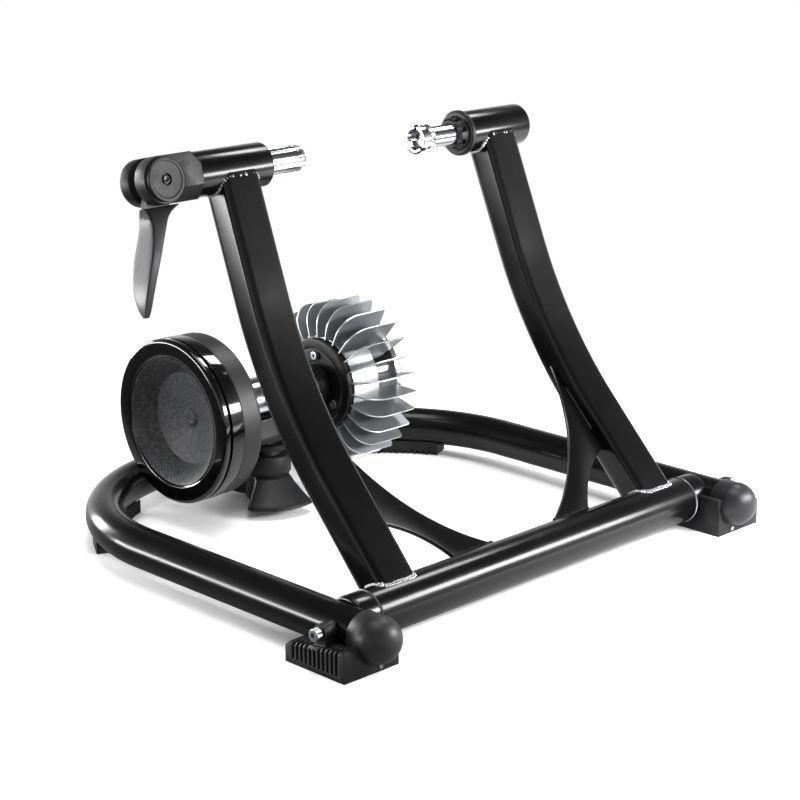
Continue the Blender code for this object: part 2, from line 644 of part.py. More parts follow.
def make_upright(side, name):
    shells = []
    for shrink in (0.0, UPRIGHT_WALL):
        rings = []
        for y, z, lean in upright_path():
            middle = Vector((side * upright_x(z), y, z))
            across = Vector((0, cos(lean), -sin(lean)))
            rings.append([middle + Vector((offset, 0, 0)) + across * depth
                          for offset, depth in upright_section(shrink)])
        shells.append(rings)
    mesh = loft(shells[0] + shells[1][::-1], closed=True)
    upright = add_piece(name, mesh, "black_paint", "upright_frame")
    reach = UPRIGHT_WIDTH
    low = (side * UPRIGHT_FOOT_X, 0, AXIS_Z)
    high = (side * UPRIGHT_TOP_X, AXLE_Y, AXLE_Z)
    saddles = bmesh.new()
    for place, radius in ((low, CROSSBAR_RADIUS + GAP), (high, BARREL_RADIUS + GAP)):
        add_bar(saddles, (place[0] - reach, place[1], place[2]), (place[0] + reach, place[1], place[2]),
                radius, RING_SIDES)
    combine(upright, saddles, "DIFFERENCE")


# Curved strap between an upright and the crossbar, in the plane of the lower upright
def make_gusset(side, name):
    lean = radians(LOWER_LEAN)
    rise = Vector((0, sin(lean), cos(lean)))
    through = Vector((0, cos(lean), -sin(lean)))
    foot = CROSSBAR_RADIUS + GAP
    wall = UPRIGHT_FOOT_X - UPRIGHT_WIDTH / 2 - GAP
    taper = (UPRIGHT_FOOT_X - UPRIGHT_TOP_X) / (AXLE_Z - AXIS_Z) * cos(lean)
    hole_top = (wall - GUSSET_LOWER * taper, GUSSET_LOWER)
    tip = (wall - GUSSET_UPPER * taper, GUSSET_UPPER)
    hole = arc_between((GUSSET_BAR_OUTER, foot), hole_top, GUSSET_HOLE_CURVE, 8)
    outer = arc_between(tip, (GUSSET_BAR_INNER, foot), GUSSET_OUTER_CURVE, 12)
    outline = [Vector((side * x, 0, AXIS_Z)) + rise * up - through * GUSSET_THICKNESS / 2
               for x, up in outer + hole]
    add_piece(name, extruded(outline, through * GUSSET_THICKNESS), "black_paint", "upright_frame")


# Left clamp: barrel, bush, cam housing, cam bolt, lever and plunger

def make_left_barrel():
    centre = (0, AXLE_Y, AXLE_Z)
    bore = BARREL_RADIUS - BARREL_WALL
    ring = [(LEFT_BARREL_OUTER, bore), (LEFT_BARREL_OUTER, BARREL_RADIUS),
            (LEFT_BARREL_INNER - 1.5 * MM, BARREL_RADIUS), (LEFT_BARREL_INNER, BARREL_RADIUS - 1.5 * MM),
            (LEFT_BARREL_INNER, bore)]
    add_piece("left_barrel", turned(ring, centre, ring=True), "black_paint", "upright_frame", centre)
    bush_outer = bore - GAP
    bush_bore = PLUNGER_RADIUS + GAP
    face = LEFT_BARREL_INNER - GAP
    bush = [(face - PLUNGER_BUSH_LENGTH, bush_bore), (face - PLUNGER_BUSH_LENGTH, bush_outer),
            (face, bush_outer), (face, bush_bore)]
    bush = turned(bush, centre, sides=RING_SIDES, ring=True)
    add_piece("plunger_bush", bush, "black_plastic", "upright_frame", centre)


# The clamp's housing is turned on the barrel, so its cam axis points down to the back.
def tilted(mesh):
    turn = Matrix.Rotation(radians(-CAM_TILT), 4, "X")
    place = Matrix.Translation(BARREL_LINE) @ turn @ Matrix.Translation(-BARREL_LINE)
    bmesh.ops.transform(mesh, matrix=place, verts=mesh.verts)
    return mesh


# Bar along the cam axis, between two distances from the barrel's axis
def cam_bar(front, back, radius, sides, shift=0.0):
    x = CAM_X + shift
    return tilted(bar((x, AXLE_Y + front, AXLE_Z), (x, AXLE_Y + back, AXLE_Z), radius, sides))


# Eight-sided neck that joins the housing to the left barrel
def housing_neck():
    right = LEFT_BARREL_OUTER - 2 * GAP
    corner = HOUSING_FLAT / cos(pi / 8)
    angles = [pi / 8 + pi / 4 * step for step in range(8)]
    outline = [Vector((CAM_X, AXLE_Y + corner * cos(angle), AXLE_Z + corner * sin(angle)))
               for angle in angles]
    return tilted(extruded(outline, Vector((right - CAM_X, 0, 0))))


def make_cam_housing():
    place = (CAM_X, AXLE_Y, AXLE_Z)
    housing = add_piece("cam_housing", housing_neck(), "black_plastic", "upright_frame", place)
    edge = 1.5 * MM
    drum = [(-HOUSING_FRONT, 0), (-HOUSING_FRONT, HOUSING_RADIUS), (HOUSING_REAR - edge, HOUSING_RADIUS),
            (HOUSING_REAR, HOUSING_RADIUS - edge), (HOUSING_REAR, 0)]
    combine(housing, tilted(turned(drum, place, "Y", 32)), "UNION")
    reach = CAM_RADIUS + CAM_THROW + MM
    slot = block((CAM_X - 40 * MM, CAM_SLOT_Y - CAM_SLOT_WIDTH / 2, AXLE_Z - 40 * MM),
                 (CAM_X + reach, CAM_SLOT_Y + CAM_SLOT_WIDTH / 2, AXLE_Z + 40 * MM))
    combine(housing, tilted(slot), "DIFFERENCE")
    stroke = CAM_RADIUS + CAM_THROW + CAM_CLEARANCE - PLUNGER_TRAVEL - GAP
    bore = bar((CAM_X + stroke, AXLE_Y, AXLE_Z), (LEFT_BARREL_OUTER + 3 * MM, AXLE_Y, AXLE_Z),
               PLUNGER_RADIUS + GAP, BARREL_SIDES)
    combine(housing, bore, "DIFFERENCE")
    pocket = cam_bar(-HOUSING_FRONT - 9 * MM, -HOUSING_FRONT, CAM_DISC_RADIUS + GAP, 32)
    combine(housing, pocket, "DIFFERENCE")
    pin = cam_bar(-HOUSING_FRONT - 3 * MM, HOUSING_REAR + 3 * MM, CAM_PIN_RADIUS + GAP, SMALL_SIDES)
    combine(housing, pin, "DIFFERENCE")


def make_cam_bolt():
    front = -HOUSING_FRONT - GAP - CAM_DISC_THICKNESS
    shoulder = front + CAM_DISC_THICKNESS
    back = HOUSING_REAR - MM
    place = (CAM_X, AXLE_Y, AXLE_Z)
    profile = [(front, 0), (front, CAM_DISC_RADIUS - MM), (front + MM, CAM_DISC_RADIUS),
               (shoulder, CAM_DISC_RADIUS), (shoulder, CAM_PIN_RADIUS), (back, CAM_PIN_RADIUS), (back, 0)]
    bolt = tilted(turned(profile, place, "Y", 32))
    bolt = add_piece("cam_pivot_bolt", bolt, "black_plastic", "upright_frame", place)
    combine(bolt, cam_bar(front - MM, front + 2.6 * MM, 4.8 * MM, SMALL_SIDES), "DIFFERENCE")


# Lever sections below the cam axis: depth, left side, right side, half width
LEVER_SECTIONS = [
    (21.8 * MM, -15.2 * MM, 24.5 * MM, 5.0 * MM),
    (24.0 * MM, -14.8 * MM, 19.0 * MM, 6.3 * MM),
    (29.0 * MM, -14.2 * MM, 8.0 * MM, 8.6 * MM),
    (37.0 * MM, -14.6 * MM, 2.4 * MM, 10.9 * MM),
    (49.5 * MM, -18.4 * MM, -5.0 * MM, 13.1 * MM),
    (63.0 * MM, -23.6 * MM, -11.9 * MM, 14.2 * MM),
    (76.0 * MM, -27.9 * MM, -17.5 * MM, 13.2 * MM),
    (88.0 * MM, -31.2 * MM, -22.0 * MM, 11.4 * MM),
    (99.0 * MM, -33.0 * MM, -24.6 * MM, 8.2 * MM),
    (106.0 * MM, -33.3 * MM, -25.6 * MM, 5.1 * MM),
    (113.0 * MM, -31.6 * MM, -27.4 * MM, 2.0 * MM),
]


def make_clamp_lever():
    rings = []
    for drop, left, right, half in LEVER_SECTIONS:
        corner = min(2.4 * MM, (right - left) * 0.3, half * 0.4)
        outline = []
        for quarter, (sign_x, sign_y) in enumerate(((1, 1), (-1, 1), (-1, -1), (1, -1))):
            centre_x = (right - corner) if sign_x > 0 else (left + corner)
            centre = (centre_x, sign_y * (half - corner))
            outline += arc(centre, corner, quarter * pi / 2, (quarter + 1) * pi / 2, 1)
        rings.append([Vector((CAM_X + x, CAM_SLOT_Y + y, AXLE_Z - drop)) for x, y in outline])
    lever = add_piece("clamp_lever_arm", tilted(loft(rings)), "black_plastic", "clamp_lever")
    half = CAM_SLOT_WIDTH / 2 - GAP
    front = CAM_SLOT_SHIFT - half
    back = CAM_SLOT_SHIFT + half
    combine(lever, cam_bar(front, back, CAM_RADIUS, BARREL_SIDES, CAM_THROW), "UNION")
    web = block((CAM_X - 12 * MM, CAM_SLOT_Y - half * 0.98, AXLE_Z - LEVER_SECTIONS[2][0]),
                (CAM_X + 12 * MM, CAM_SLOT_Y + half * 0.98, AXLE_Z - 4 * MM))
    combine(lever, tilted(web), "UNION")
    combine(lever, cam_bar(front - 5 * MM, back + 5 * MM, CAM_PIN_RADIUS + GAP, SMALL_SIDES), "DIFFERENCE")


def make_clamp_plunger():
    tail = CAM_X + CAM_RADIUS + CAM_THROW + CAM_CLEARANCE
    mouth = 7.0 * MM
    profile = [(tail, 0), (tail, PLUNGER_RADIUS), (PLUNGER_TIP - 2 * MM, PLUNGER_RADIUS),
               (PLUNGER_TIP, PLUNGER_RADIUS - 1.6 * MM), (PLUNGER_TIP, mouth),
               (PLUNGER_TIP - mouth, 1.5 * MM), (PLUNGER_TIP - mouth, 0)]
    plunger = turned(profile, (0, AXLE_Y, AXLE_Z))
    plunger = add_piece("clamp_plunger", plunger, "chrome", "clamp_plunger_slide")
    flutes = bmesh.new()
    for index in range(PLUNGER_FLUTES):
        angle = 2 * pi * (index + 0.5) / PLUNGER_FLUTES
        y = AXLE_Y + (PLUNGER_RADIUS + 0.5 * MM) * cos(angle)
        z = AXLE_Z + (PLUNGER_RADIUS + 0.5 * MM) * sin(angle)
        add_bar(flutes, (LEFT_BARREL_INNER - 15 * MM, y, z), (PLUNGER_TIP + MM, y, z), 1.3 * MM, 8)
    combine(plunger, flutes, "DIFFERENCE")


# Right clamp: closed barrel, threaded insert, rod with its cup, and the lock nut

def make_right_barrel():
    centre = (0, AXLE_Y, AXLE_Z)
    bore = BARREL_RADIUS - BARREL_WALL
    end = RIGHT_BARREL_OUTER
    profile = [(end, 0), (end, BARREL_RADIUS - 3 * MM), (end - 0.9 * MM, BARREL_RADIUS - 0.9 * MM),
               (end - 3 * MM, BARREL_RADIUS), (RIGHT_BARREL_INNER, BARREL_RADIUS),
               (RIGHT_BARREL_INNER, bore), (end - BARREL_WALL, bore), (end - BARREL_WALL, 0)]
    add_piece("right_barrel", turned(profile, centre), "black_paint", "upright_frame", centre)
    left = RIGHT_BARREL_INNER + GAP
    right = left + INSERT_LENGTH
    ring = [(left, ROD_RADIUS + GAP), (left, bore - GAP), (right, bore - GAP), (right, ROD_RADIUS + GAP)]
    insert = turned(ring, centre, sides=RING_SIDES, ring=True)
    add_piece("threaded_insert", insert, "zinc_plate", "upright_frame", centre)


def make_threaded_rod():
    left = CUP_TIP + CUP_LENGTH + GAP
    tang = ROD_RADIUS * 0.6
    tang_left = CUP_TIP + CUP_MOUTH + GAP
    profile = [(tang_left, 0), (tang_left, tang), (left, tang), (left, ROD_RADIUS),
               (ROD_END - MM, ROD_RADIUS), (ROD_END, ROD_RADIUS - MM), (ROD_END, 0)]
    rod = turned(profile, (0, AXLE_Y, AXLE_Z), sides=RING_SIDES)
    add_piece("threaded_rod", rod, "chrome", "axle_cup_slide")


def make_axle_cup():
    right = CUP_TIP + CUP_LENGTH
    floor = CUP_TIP + CUP_MOUTH
    bore = ROD_RADIUS * 0.6 + GAP
    ring = [(CUP_TIP, 9.5 * MM), (CUP_TIP, CUP_RADIUS - 0.8 * MM), (CUP_TIP + 0.8 * MM, CUP_RADIUS),
            (right - 6 * MM, CUP_RADIUS), (right - 5.5 * MM, CUP_RADIUS - 0.8 * MM),
            (right - MM, CUP_RADIUS - 0.8 * MM), (right, CUP_RADIUS - 1.8 * MM), (right, bore),
            (floor, bore), (floor, 7.0 * MM)]
    cup = turned(ring, (0, AXLE_Y, AXLE_Z), sides=RING_SIDES, ring=True)
    cup = add_piece("axle_cup", cup, "chrome", "axle_cup_slide")
    notches = bmesh.new()
    for index in range(CUP_NOTCHES):
        turn = Matrix.Translation(BARREL_LINE) @ Matrix.Rotation(2 * pi * index / CUP_NOTCHES, 4, "X")
        add_block(notches, (CUP_TIP - MM, -4 * MM, 6 * MM),
                  (CUP_TIP + 6 * MM, 4 * MM, CUP_RADIUS + MM), turn)
    combine(cup, notches, "DIFFERENCE")


def make_lock_nut():
    right = RIGHT_BARREL_INNER - GAP
    bore = ROD_RADIUS + GAP
    ring = [(NUT_LEFT, bore), (NUT_LEFT, NUT_RADIUS - 3.4 * MM), (NUT_LEFT + 3 * MM, NUT_RADIUS - 1.6 * MM),
            (right - 5.5 * MM, NUT_RADIUS), (right - 5.5 * MM, NUT_FLANGE_RADIUS - 1.5 * MM),
            (right - 4 * MM, NUT_FLANGE_RADIUS), (right, NUT_FLANGE_RADIUS), (right, bore)]
    nut = turned(ring, (0, AXLE_Y, AXLE_Z), sides=BARREL_SIDES, ring=True)
    nut = add_piece("lock_nut", nut, "black_plastic", "lock_nut_spin")
    notches = bmesh.new()
    for index in range(NUT_NOTCHES):
        angle = 2 * pi * (index + 0.5) / NUT_NOTCHES
        turn = Matrix.Translation(BARREL_LINE) @ Matrix.Rotation(angle, 4, "X")
        add_block(notches, (NUT_LEFT - MM, -2.6 * MM, NUT_RADIUS - 4 * MM),
                  (NUT_LEFT + NUT_NOTCH_LENGTH, 2.6 * MM, NUT_RADIUS + 4 * MM), turn)
    combine(nut, notches, "DIFFERENCE")


# Bracket on the rear of the base, with ears for the pivot bolt

def make_unit_bracket():
    left = BRACKET_X - BRACKET_HALF
    right = BRACKET_X + BRACKET_HALF
    rear = REAR_LINE + TUBE_RADIUS * 0.8
    front = arc((BRACKET_X, KNOB_Y), BRACKET_HALF, pi, 2 * pi, 10)
    outline = [Vector((x, y, BRACKET_Z)) for x, y in [(left, rear)] + front + [(right, rear)]]
    bracket = extruded(outline, Vector((0, 0, BRACKET_THICKNESS)))
    bracket = add_piece("unit_bracket", bracket, "black_paint", "base", (BRACKET_X, REAR_LINE, BRACKET_Z))
    saddle = block((left + 2 * MM, REAR_LINE - TUBE_RADIUS * 0.8, AXIS_Z),
                   (right - 2 * MM, rear - MM, BRACKET_Z + 2 * MM))
    combine(bracket, saddle, "UNION")
    for inner in (left, right - EAR_THICKNESS):
        profile = arc((PIVOT_Y, PIVOT_Z), EAR_RADIUS, 0, pi, 10)
        profile += [(PIVOT_Y - EAR_RADIUS, BRACKET_Z + 2 * MM), (PIVOT_Y + EAR_RADIUS, BRACKET_Z + 2 * MM)]
        shift = 0.05 * MM if inner == left else -0.05 * MM
        ear = extruded([Vector((inner + shift, y, z)) for y, z in profile], Vector((EAR_THICKNESS, 0, 0)))
        combine(bracket, ear, "UNION")
    bores = bar((left - MM, PIVOT_Y, PIVOT_Z), (right + MM, PIVOT_Y, PIVOT_Z), PIVOT_RADIUS + GAP)
    add_bar(bores, (BRACKET_X, KNOB_Y, BRACKET_Z - MM),
            (BRACKET_X, KNOB_Y, BRACKET_Z + BRACKET_THICKNESS + MM), SCREW_RADIUS + GAP)
    add_bar(bores, (left - MM, REAR_LINE, AXIS_Z), (right + MM, REAR_LINE, AXIS_Z),
            TUBE_RADIUS + GAP, RING_SIDES)
    combine(bracket, bores, "DIFFERENCE")


def lug_places():
    left = BRACKET_X - BRACKET_HALF - GAP - EAR_THICKNESS
    right = BRACKET_X + BRACKET_HALF + GAP
    return left, right


def make_pivot_bolt():
    left, right = lug_places()
    head_length = 5.0 * MM
    head = left - GAP - head_length
    nut_left = right + EAR_THICKNESS + GAP
    nut_width = 6.0 * MM
    end = nut_left + nut_width + 2 * MM
    profile = [(head, 0), (head, 6.5 * MM), (head + head_length, 6.5 * MM),
               (head + head_length, PIVOT_RADIUS), (end, PIVOT_RADIUS), (end, 0)]
    centre = (0, PIVOT_Y, PIVOT_Z)
    add_piece("unit_pivot_bolt", turned(profile, centre, sides=SMALL_SIDES), "zinc_plate", "base", centre)
    bore = PIVOT_RADIUS + GAP
    ring = [(nut_left, bore), (nut_left, 7.5 * MM), (nut_left + nut_width, 7.5 * MM),
            (nut_left + nut_width, bore)]
    nut = turned(ring, centre, sides=6, ring=True)
    outer_bore = bar((nut_left - MM, PIVOT_Y, PIVOT_Z), (end, PIVOT_Y, PIVOT_Z), bore)
    combine(add_piece("unit_pivot_nut", nut, "zinc_plate", "base", centre), outer_bore, "DIFFERENCE")


# Yoke: floor, two bearing arms, a front lip and two lugs on the pivot bolt

def make_yoke():
    floor_top = YOKE_FLOOR_Z + YOKE_FLOOR_THICKNESS
    right = RIGHT_ARM + ARM_THICKNESS
    floor = block((LEFT_ARM + 2 * MM, YOKE_FRONT, YOKE_FLOOR_Z), (right - 2 * MM, YOKE_REAR, floor_top))
    yoke = add_piece("unit_yoke", floor, "black_paint", "resistance_unit")
    for inner in (LEFT_ARM, RIGHT_ARM):
        profile = arc((ROLLER_Y, ROLLER_Z), ARM_RADIUS, radians(-20), radians(200), 14)
        profile += [(YOKE_FRONT + MM, YOKE_FLOOR_Z + MM), (YOKE_REAR - MM, YOKE_FLOOR_Z + MM)]
        arm = extruded([Vector((inner, y, z)) for y, z in profile], Vector((ARM_THICKNESS, 0, 0)))
        combine(yoke, arm, "UNION")
    lip = block((LEFT_ARM + 3 * MM, YOKE_FRONT + 0.5 * MM, YOKE_FLOOR_Z + 3 * MM),
                (right - 3 * MM, YOKE_FRONT + YOKE_LIP_THICKNESS, floor_top + YOKE_LIP_HEIGHT))
    combine(yoke, lip, "UNION")
    for inner in lug_places():
        profile = arc((PIVOT_Y, PIVOT_Z), LUG_RADIUS, radians(-90), radians(90), 10)
        profile += [(YOKE_REAR - 8 * MM, floor_top + 6 * MM), (YOKE_REAR - 8 * MM, YOKE_FLOOR_Z + 2 * MM)]
        lug = extruded([Vector((inner, y, z)) for y, z in profile], Vector((EAR_THICKNESS, 0, 0)))
        combine(yoke, lug, "UNION")
    bores = bar((LEFT_ARM - 9 * MM, ROLLER_Y, ROLLER_Z), (right + 9 * MM, ROLLER_Y, ROLLER_Z),
                SHAFT_BORE + 2 * MM, RING_SIDES)
    half = BRACKET_HALF * 2
    add_bar(bores, (BRACKET_X - half, PIVOT_Y, PIVOT_Z), (BRACKET_X + half, PIVOT_Y, PIVOT_Z),
            PIVOT_RADIUS + GAP)
    combine(yoke, bores, "DIFFERENCE")


# Bearing carriers outside the arms, each with a ball bearing in its recess
def make_bearings():
    centre = (0, ROLLER_Y, ROLLER_Z)
    seat = BEARING_RADIUS + GAP
    inner = LEFT_ARM - GAP
    shoulder = SHROUD_RIGHT + GAP
    tip = SHROUD_RIGHT - SHROUD_WALL - 3 * MM
    stop = tip + BEARING_WIDTH + 2 * GAP
    left = [(inner, SHAFT_BORE), (stop, SHAFT_BORE), (stop, seat), (tip, seat), (tip, CARRIER_SPIGOT),
            (shoulder, CARRIER_SPIGOT), (shoulder, CARRIER_RADIUS), (inner, CARRIER_RADIUS)]
    left = turned(left, centre, sides=RING_SIDES, ring=True)
    add_piece("left_bearing_carrier", left, "black_paint", "resistance_unit", centre)
    outer = END_PLATE_LEFT - GAP
    near = RIGHT_ARM + ARM_THICKNESS + GAP
    rest = near + BEARING_WIDTH + 2 * GAP
    right = [(near, seat), (rest, seat), (rest, SHAFT_BORE), (outer, SHAFT_BORE),
             (outer, CARRIER_SPIGOT + 2 * MM), (near, CARRIER_SPIGOT + 2 * MM)]
    right = turned(right, centre, sides=RING_SIDES, ring=True)
    add_piece("right_bearing_carrier", right, "black_paint", "resistance_unit", centre)
    for name, first in (("left_bearing", tip + GAP), ("right_bearing", near + GAP)):
        last = first + BEARING_WIDTH
        ring = [(first, SHAFT_BORE), (first, BEARING_RADIUS), (last, BEARING_RADIUS), (last, SHAFT_BORE)]
        bearing = turned(ring, centre, sides=RING_SIDES, ring=True)
        add_piece(name, bearing, "zinc_plate", "resistance_unit", centre)


# Cup-shaped cover behind the flywheel, carried by the left bearing carrier
def make_shroud():
    corner = [(SHROUD_RIGHT - SHROUD_CORNER + SHROUD_CORNER * sin(angle),
               SHROUD_RADIUS - SHROUD_CORNER + SHROUD_CORNER * cos(angle))
              for angle in [radians(30 * step) for step in range(4)]]
    bore = CARRIER_SPIGOT + GAP
    back = SHROUD_RIGHT - SHROUD_WALL
    inner_radius = SHROUD_RADIUS - SHROUD_WALL
    ring = [(SHROUD_LEFT, inner_radius), (SHROUD_LEFT, SHROUD_RADIUS)] + corner
    ring += [(SHROUD_RIGHT, bore), (back, bore), (back, inner_radius - SHROUD_CORNER),
             (back - SHROUD_CORNER, inner_radius)]
    centre = (0, ROLLER_Y, ROLLER_Z)
    add_piece("flywheel_shroud", turned(ring, centre, sides=WHEEL_SIDES, ring=True), "black_plastic",
              "resistance_unit", centre)


# Rotor: shaft, roller, flywheel with its mesh liner, and impeller

def make_rotor():
    centre = (0, ROLLER_Y, ROLLER_Z)
    left = FLYWHEEL_LEFT + FLYWHEEL_DISH_DEPTH - HUB_BUMP
    right = IMPELLER_LEFT + IMPELLER_WIDTH + 2 * MM
    shaft = [(left, 0), (left, SHAFT_RADIUS - MM), (left + MM, SHAFT_RADIUS), (right, SHAFT_RADIUS),
             (right, 0)]
    add_piece("drive_shaft", turned(shaft, centre, sides=RING_SIDES), "zinc_plate", "rotor")
    edge = 1.5 * MM
    ring = [(ROLLER_LEFT, SHAFT_BORE), (ROLLER_LEFT, ROLLER_RADIUS - edge),
            (ROLLER_LEFT + edge, ROLLER_RADIUS), (ROLLER_RIGHT - edge, ROLLER_RADIUS),
            (ROLLER_RIGHT, ROLLER_RADIUS - edge), (ROLLER_RIGHT, SHAFT_BORE)]
    add_piece("drive_roller", turned(ring, centre, ring=True), "chrome", "rotor")


def make_flywheel():
    centre = (0, ROLLER_Y, ROLLER_Z)
    face = FLYWHEEL_LEFT
    floor = face + FLYWHEEL_DISH_DEPTH
    groove = FLYWHEEL_RADIUS - FLYWHEEL_GROOVE
    ring = [(floor, SHAFT_BORE), (floor, FLYWHEEL_FLOOR_RADIUS), (face + MM, FLYWHEEL_DISH_RADIUS),
            (face, FLYWHEEL_DISH_RADIUS + MM), (face, FLYWHEEL_RADIUS - MM),
            (face + MM, FLYWHEEL_RADIUS), (face + 7 * MM, FLYWHEEL_RADIUS), (face + 7.5 * MM, groove),
            (face + 9.5 * MM, groove), (face + 10 * MM, FLYWHEEL_RADIUS),
            (FLYWHEEL_RIGHT - MM, FLYWHEEL_RADIUS), (FLYWHEEL_RIGHT, FLYWHEEL_RADIUS - MM),
            (FLYWHEEL_RIGHT, SHAFT_BORE)]
    add_piece("flywheel", turned(ring, centre, sides=WHEEL_SIDES, ring=True), "flywheel_enamel", "rotor")


# Woven mesh dish that lines the flywheel's recess, with a low bump over the shaft's end
def make_mesh_liner():
    centre = (0, ROLLER_Y, ROLLER_Z)
    slope = Vector((FLYWHEEL_DISH_DEPTH - MM, FLYWHEEL_FLOOR_RADIUS - FLYWHEEL_DISH_RADIUS))
    normal = Vector((slope.y, -slope.x)).normalized()
    floor = FLYWHEEL_LEFT + FLYWHEEL_DISH_DEPTH - GAP
    start = Vector((FLYWHEEL_LEFT + LINER_LIP, FLYWHEEL_DISH_RADIUS)) + normal * GAP
    start.y = FLYWHEEL_DISH_RADIUS + (LINER_LIP - MM) * slope.y / slope.x - 2 * GAP
    end = (floor, FLYWHEEL_FLOOR_RADIUS - 2 * GAP)
    hub = SHAFT_RADIUS + 2 * MM
    raised = FLYWHEEL_LEFT + FLYWHEEL_DISH_DEPTH - HUB_BUMP - GAP - LINER_THICKNESS
    ring = [(start.x, start.y), end, (floor, hub + 4 * MM), (raised + LINER_THICKNESS, hub),
            (raised + LINER_THICKNESS, 0), (raised, 0), (raised, hub - 0.5 * MM),
            (floor - LINER_THICKNESS, hub + 3.6 * MM),
            (floor - LINER_THICKNESS, FLYWHEEL_FLOOR_RADIUS - 1.4 * MM),
            (start.x, start.y - 1.3 * MM)]
    ring = ring[5:] + ring[:5]
    add_piece("flywheel_mesh_liner", turned(ring, centre, sides=WHEEL_SIDES), "woven_mesh", "rotor")


def make_impeller():
    centre = (0, ROLLER_Y, ROLLER_Z)
    left = IMPELLER_LEFT
    right = IMPELLER_LEFT + IMPELLER_WIDTH
    hub = 16 * MM
    ring = [(left, SHAFT_BORE), (left, IMPELLER_RADIUS), (left + 3 * MM, IMPELLER_RADIUS),
            (left + 3 * MM, hub), (right, hub), (right, SHAFT_BORE)]
    impeller = turned(ring, centre, sides=RING_SIDES, ring=True)
    impeller = add_piece("impeller", impeller, "polished_aluminium", "rotor")
    vanes = bmesh.new()
    for index in range(IMPELLER_VANES):
        turn = Matrix.Translation(centre) @ Matrix.Rotation(2 * pi * index / IMPELLER_VANES, 4, "X")
        add_block(vanes, (left + MM, -1.2 * MM, hub - 2 * MM),
                  (right - 2 * MM, 1.2 * MM, IMPELLER_RADIUS - MM), turn)
    combine(impeller, vanes, "UNION")


# Fluid drum: end plate with seal and screws, finned drum, rear cover and its screws

def make_end_plate():
    centre = (0, ROLLER_Y, ROLLER_Z)
    left = END_PLATE_LEFT
    right = END_PLATE_LEFT + END_PLATE_THICKNESS
    groove = 38.0 * MM
    pocket = right - SEAL_WIDTH - GAP
    ring = [(left, SHAFT_BORE), (left, groove - 1.5 * MM), (left + 1.2 * MM, groove - 0.5 * MM),
            (left + 1.2 * MM, groove + 0.5 * MM), (left, groove + 1.5 * MM),
            (left, END_PLATE_RADIUS - 2 * MM), (left + 1.5 * MM, END_PLATE_RADIUS),
            (right, END_PLATE_RADIUS), (right, SEAL_RADIUS + GAP),
            (pocket, SEAL_RADIUS + GAP), (pocket, SHAFT_BORE)]
    plate = add_piece("drum_end_plate", turned(ring, centre, sides=WHEEL_SIDES, ring=True), "black_paint",
                      "resistance_unit", centre)
    holes = bmesh.new()
    for index in range(3):
        angle = radians(90 + 120 * index)
        y = ROLLER_Y + END_SCREW_CIRCLE * cos(angle)
        z = ROLLER_Z + END_SCREW_CIRCLE * sin(angle)
        add_bar(holes, (left - MM, y, z), (left + 5 * MM, y, z), END_SCREW_RADIUS + GAP, 12)
        socket_screw(f"end_plate_screw_{index + 1}", (left - GAP - 3.6 * MM, y, z), (1, 0, 0),
                     END_SCREW_HEAD, 3.6 * MM, END_SCREW_RADIUS, 8.3 * MM, "resistance_unit", 2.0 * MM)
    combine(plate, holes, "DIFFERENCE")
    seal = [(pocket + GAP, SHAFT_BORE), (pocket + GAP, SEAL_RADIUS), (right, SEAL_RADIUS),
            (right, SHAFT_BORE)]
    seal = turned(seal, centre, sides=RING_SIDES, ring=True)
    add_piece("shaft_seal", seal, "black_rubber", "resistance_unit", centre)


# One fin in its own plane, as distance along the drum and radius
def fin_outline():
    root = DRUM_RADIUS - DRUM_WALL / 2
    clear = END_PLATE_RADIUS + 2 * GAP
    lead = FIN_LEADING_CORNER
    trail = FIN_TRAILING_CORNER
    front = [(DRUM_LEFT + 2 * MM, root), (DRUM_LEFT + 2 * MM, clear), (FIN_LEFT, clear)]
    corners = arc((FIN_LEFT + lead, FIN_RADIUS - lead), lead, pi, pi / 2, 4)
    corners += arc((FIN_RIGHT - trail, FIN_RADIUS - trail), trail, pi / 2, 0, 1)
    return front + corners + [(FIN_RIGHT, DRUM_RADIUS + 12 * MM), (FIN_RIGHT - 5 * MM, root)]


def make_drum():
    centre = (0, ROLLER_Y, ROLLER_Z)
    bore = DRUM_RADIUS - DRUM_WALL
    ring = [(DRUM_LEFT, bore), (DRUM_LEFT, DRUM_RADIUS), (DRUM_RIGHT, DRUM_RADIUS), (DRUM_RIGHT, bore)]
    drum = turned(ring, centre, sides=WHEEL_SIDES, ring=True)
    drum = add_piece("finned_drum", drum, "polished_aluminium", "resistance_unit", centre)
    fins = bmesh.new()
    for index in range(FIN_COUNT):
        outline = [Vector((x, -FIN_THICKNESS / 2, radius)) for x, radius in fin_outline()]
        fin = extruded(outline, Vector((0, FIN_THICKNESS, 0)))
        turn = Matrix.Translation(centre) @ Matrix.Rotation(2 * pi * (index + FIN_PHASE) / FIN_COUNT, 4, "X")
        bmesh.ops.transform(fin, matrix=turn, verts=fin.verts)
        shape = bpy.data.meshes.new("fin_shape")
        fin.to_mesh(shape)
        fin.free()
        fins.from_mesh(shape)
        bpy.data.meshes.remove(shape)
    combine(drum, fins, "UNION")


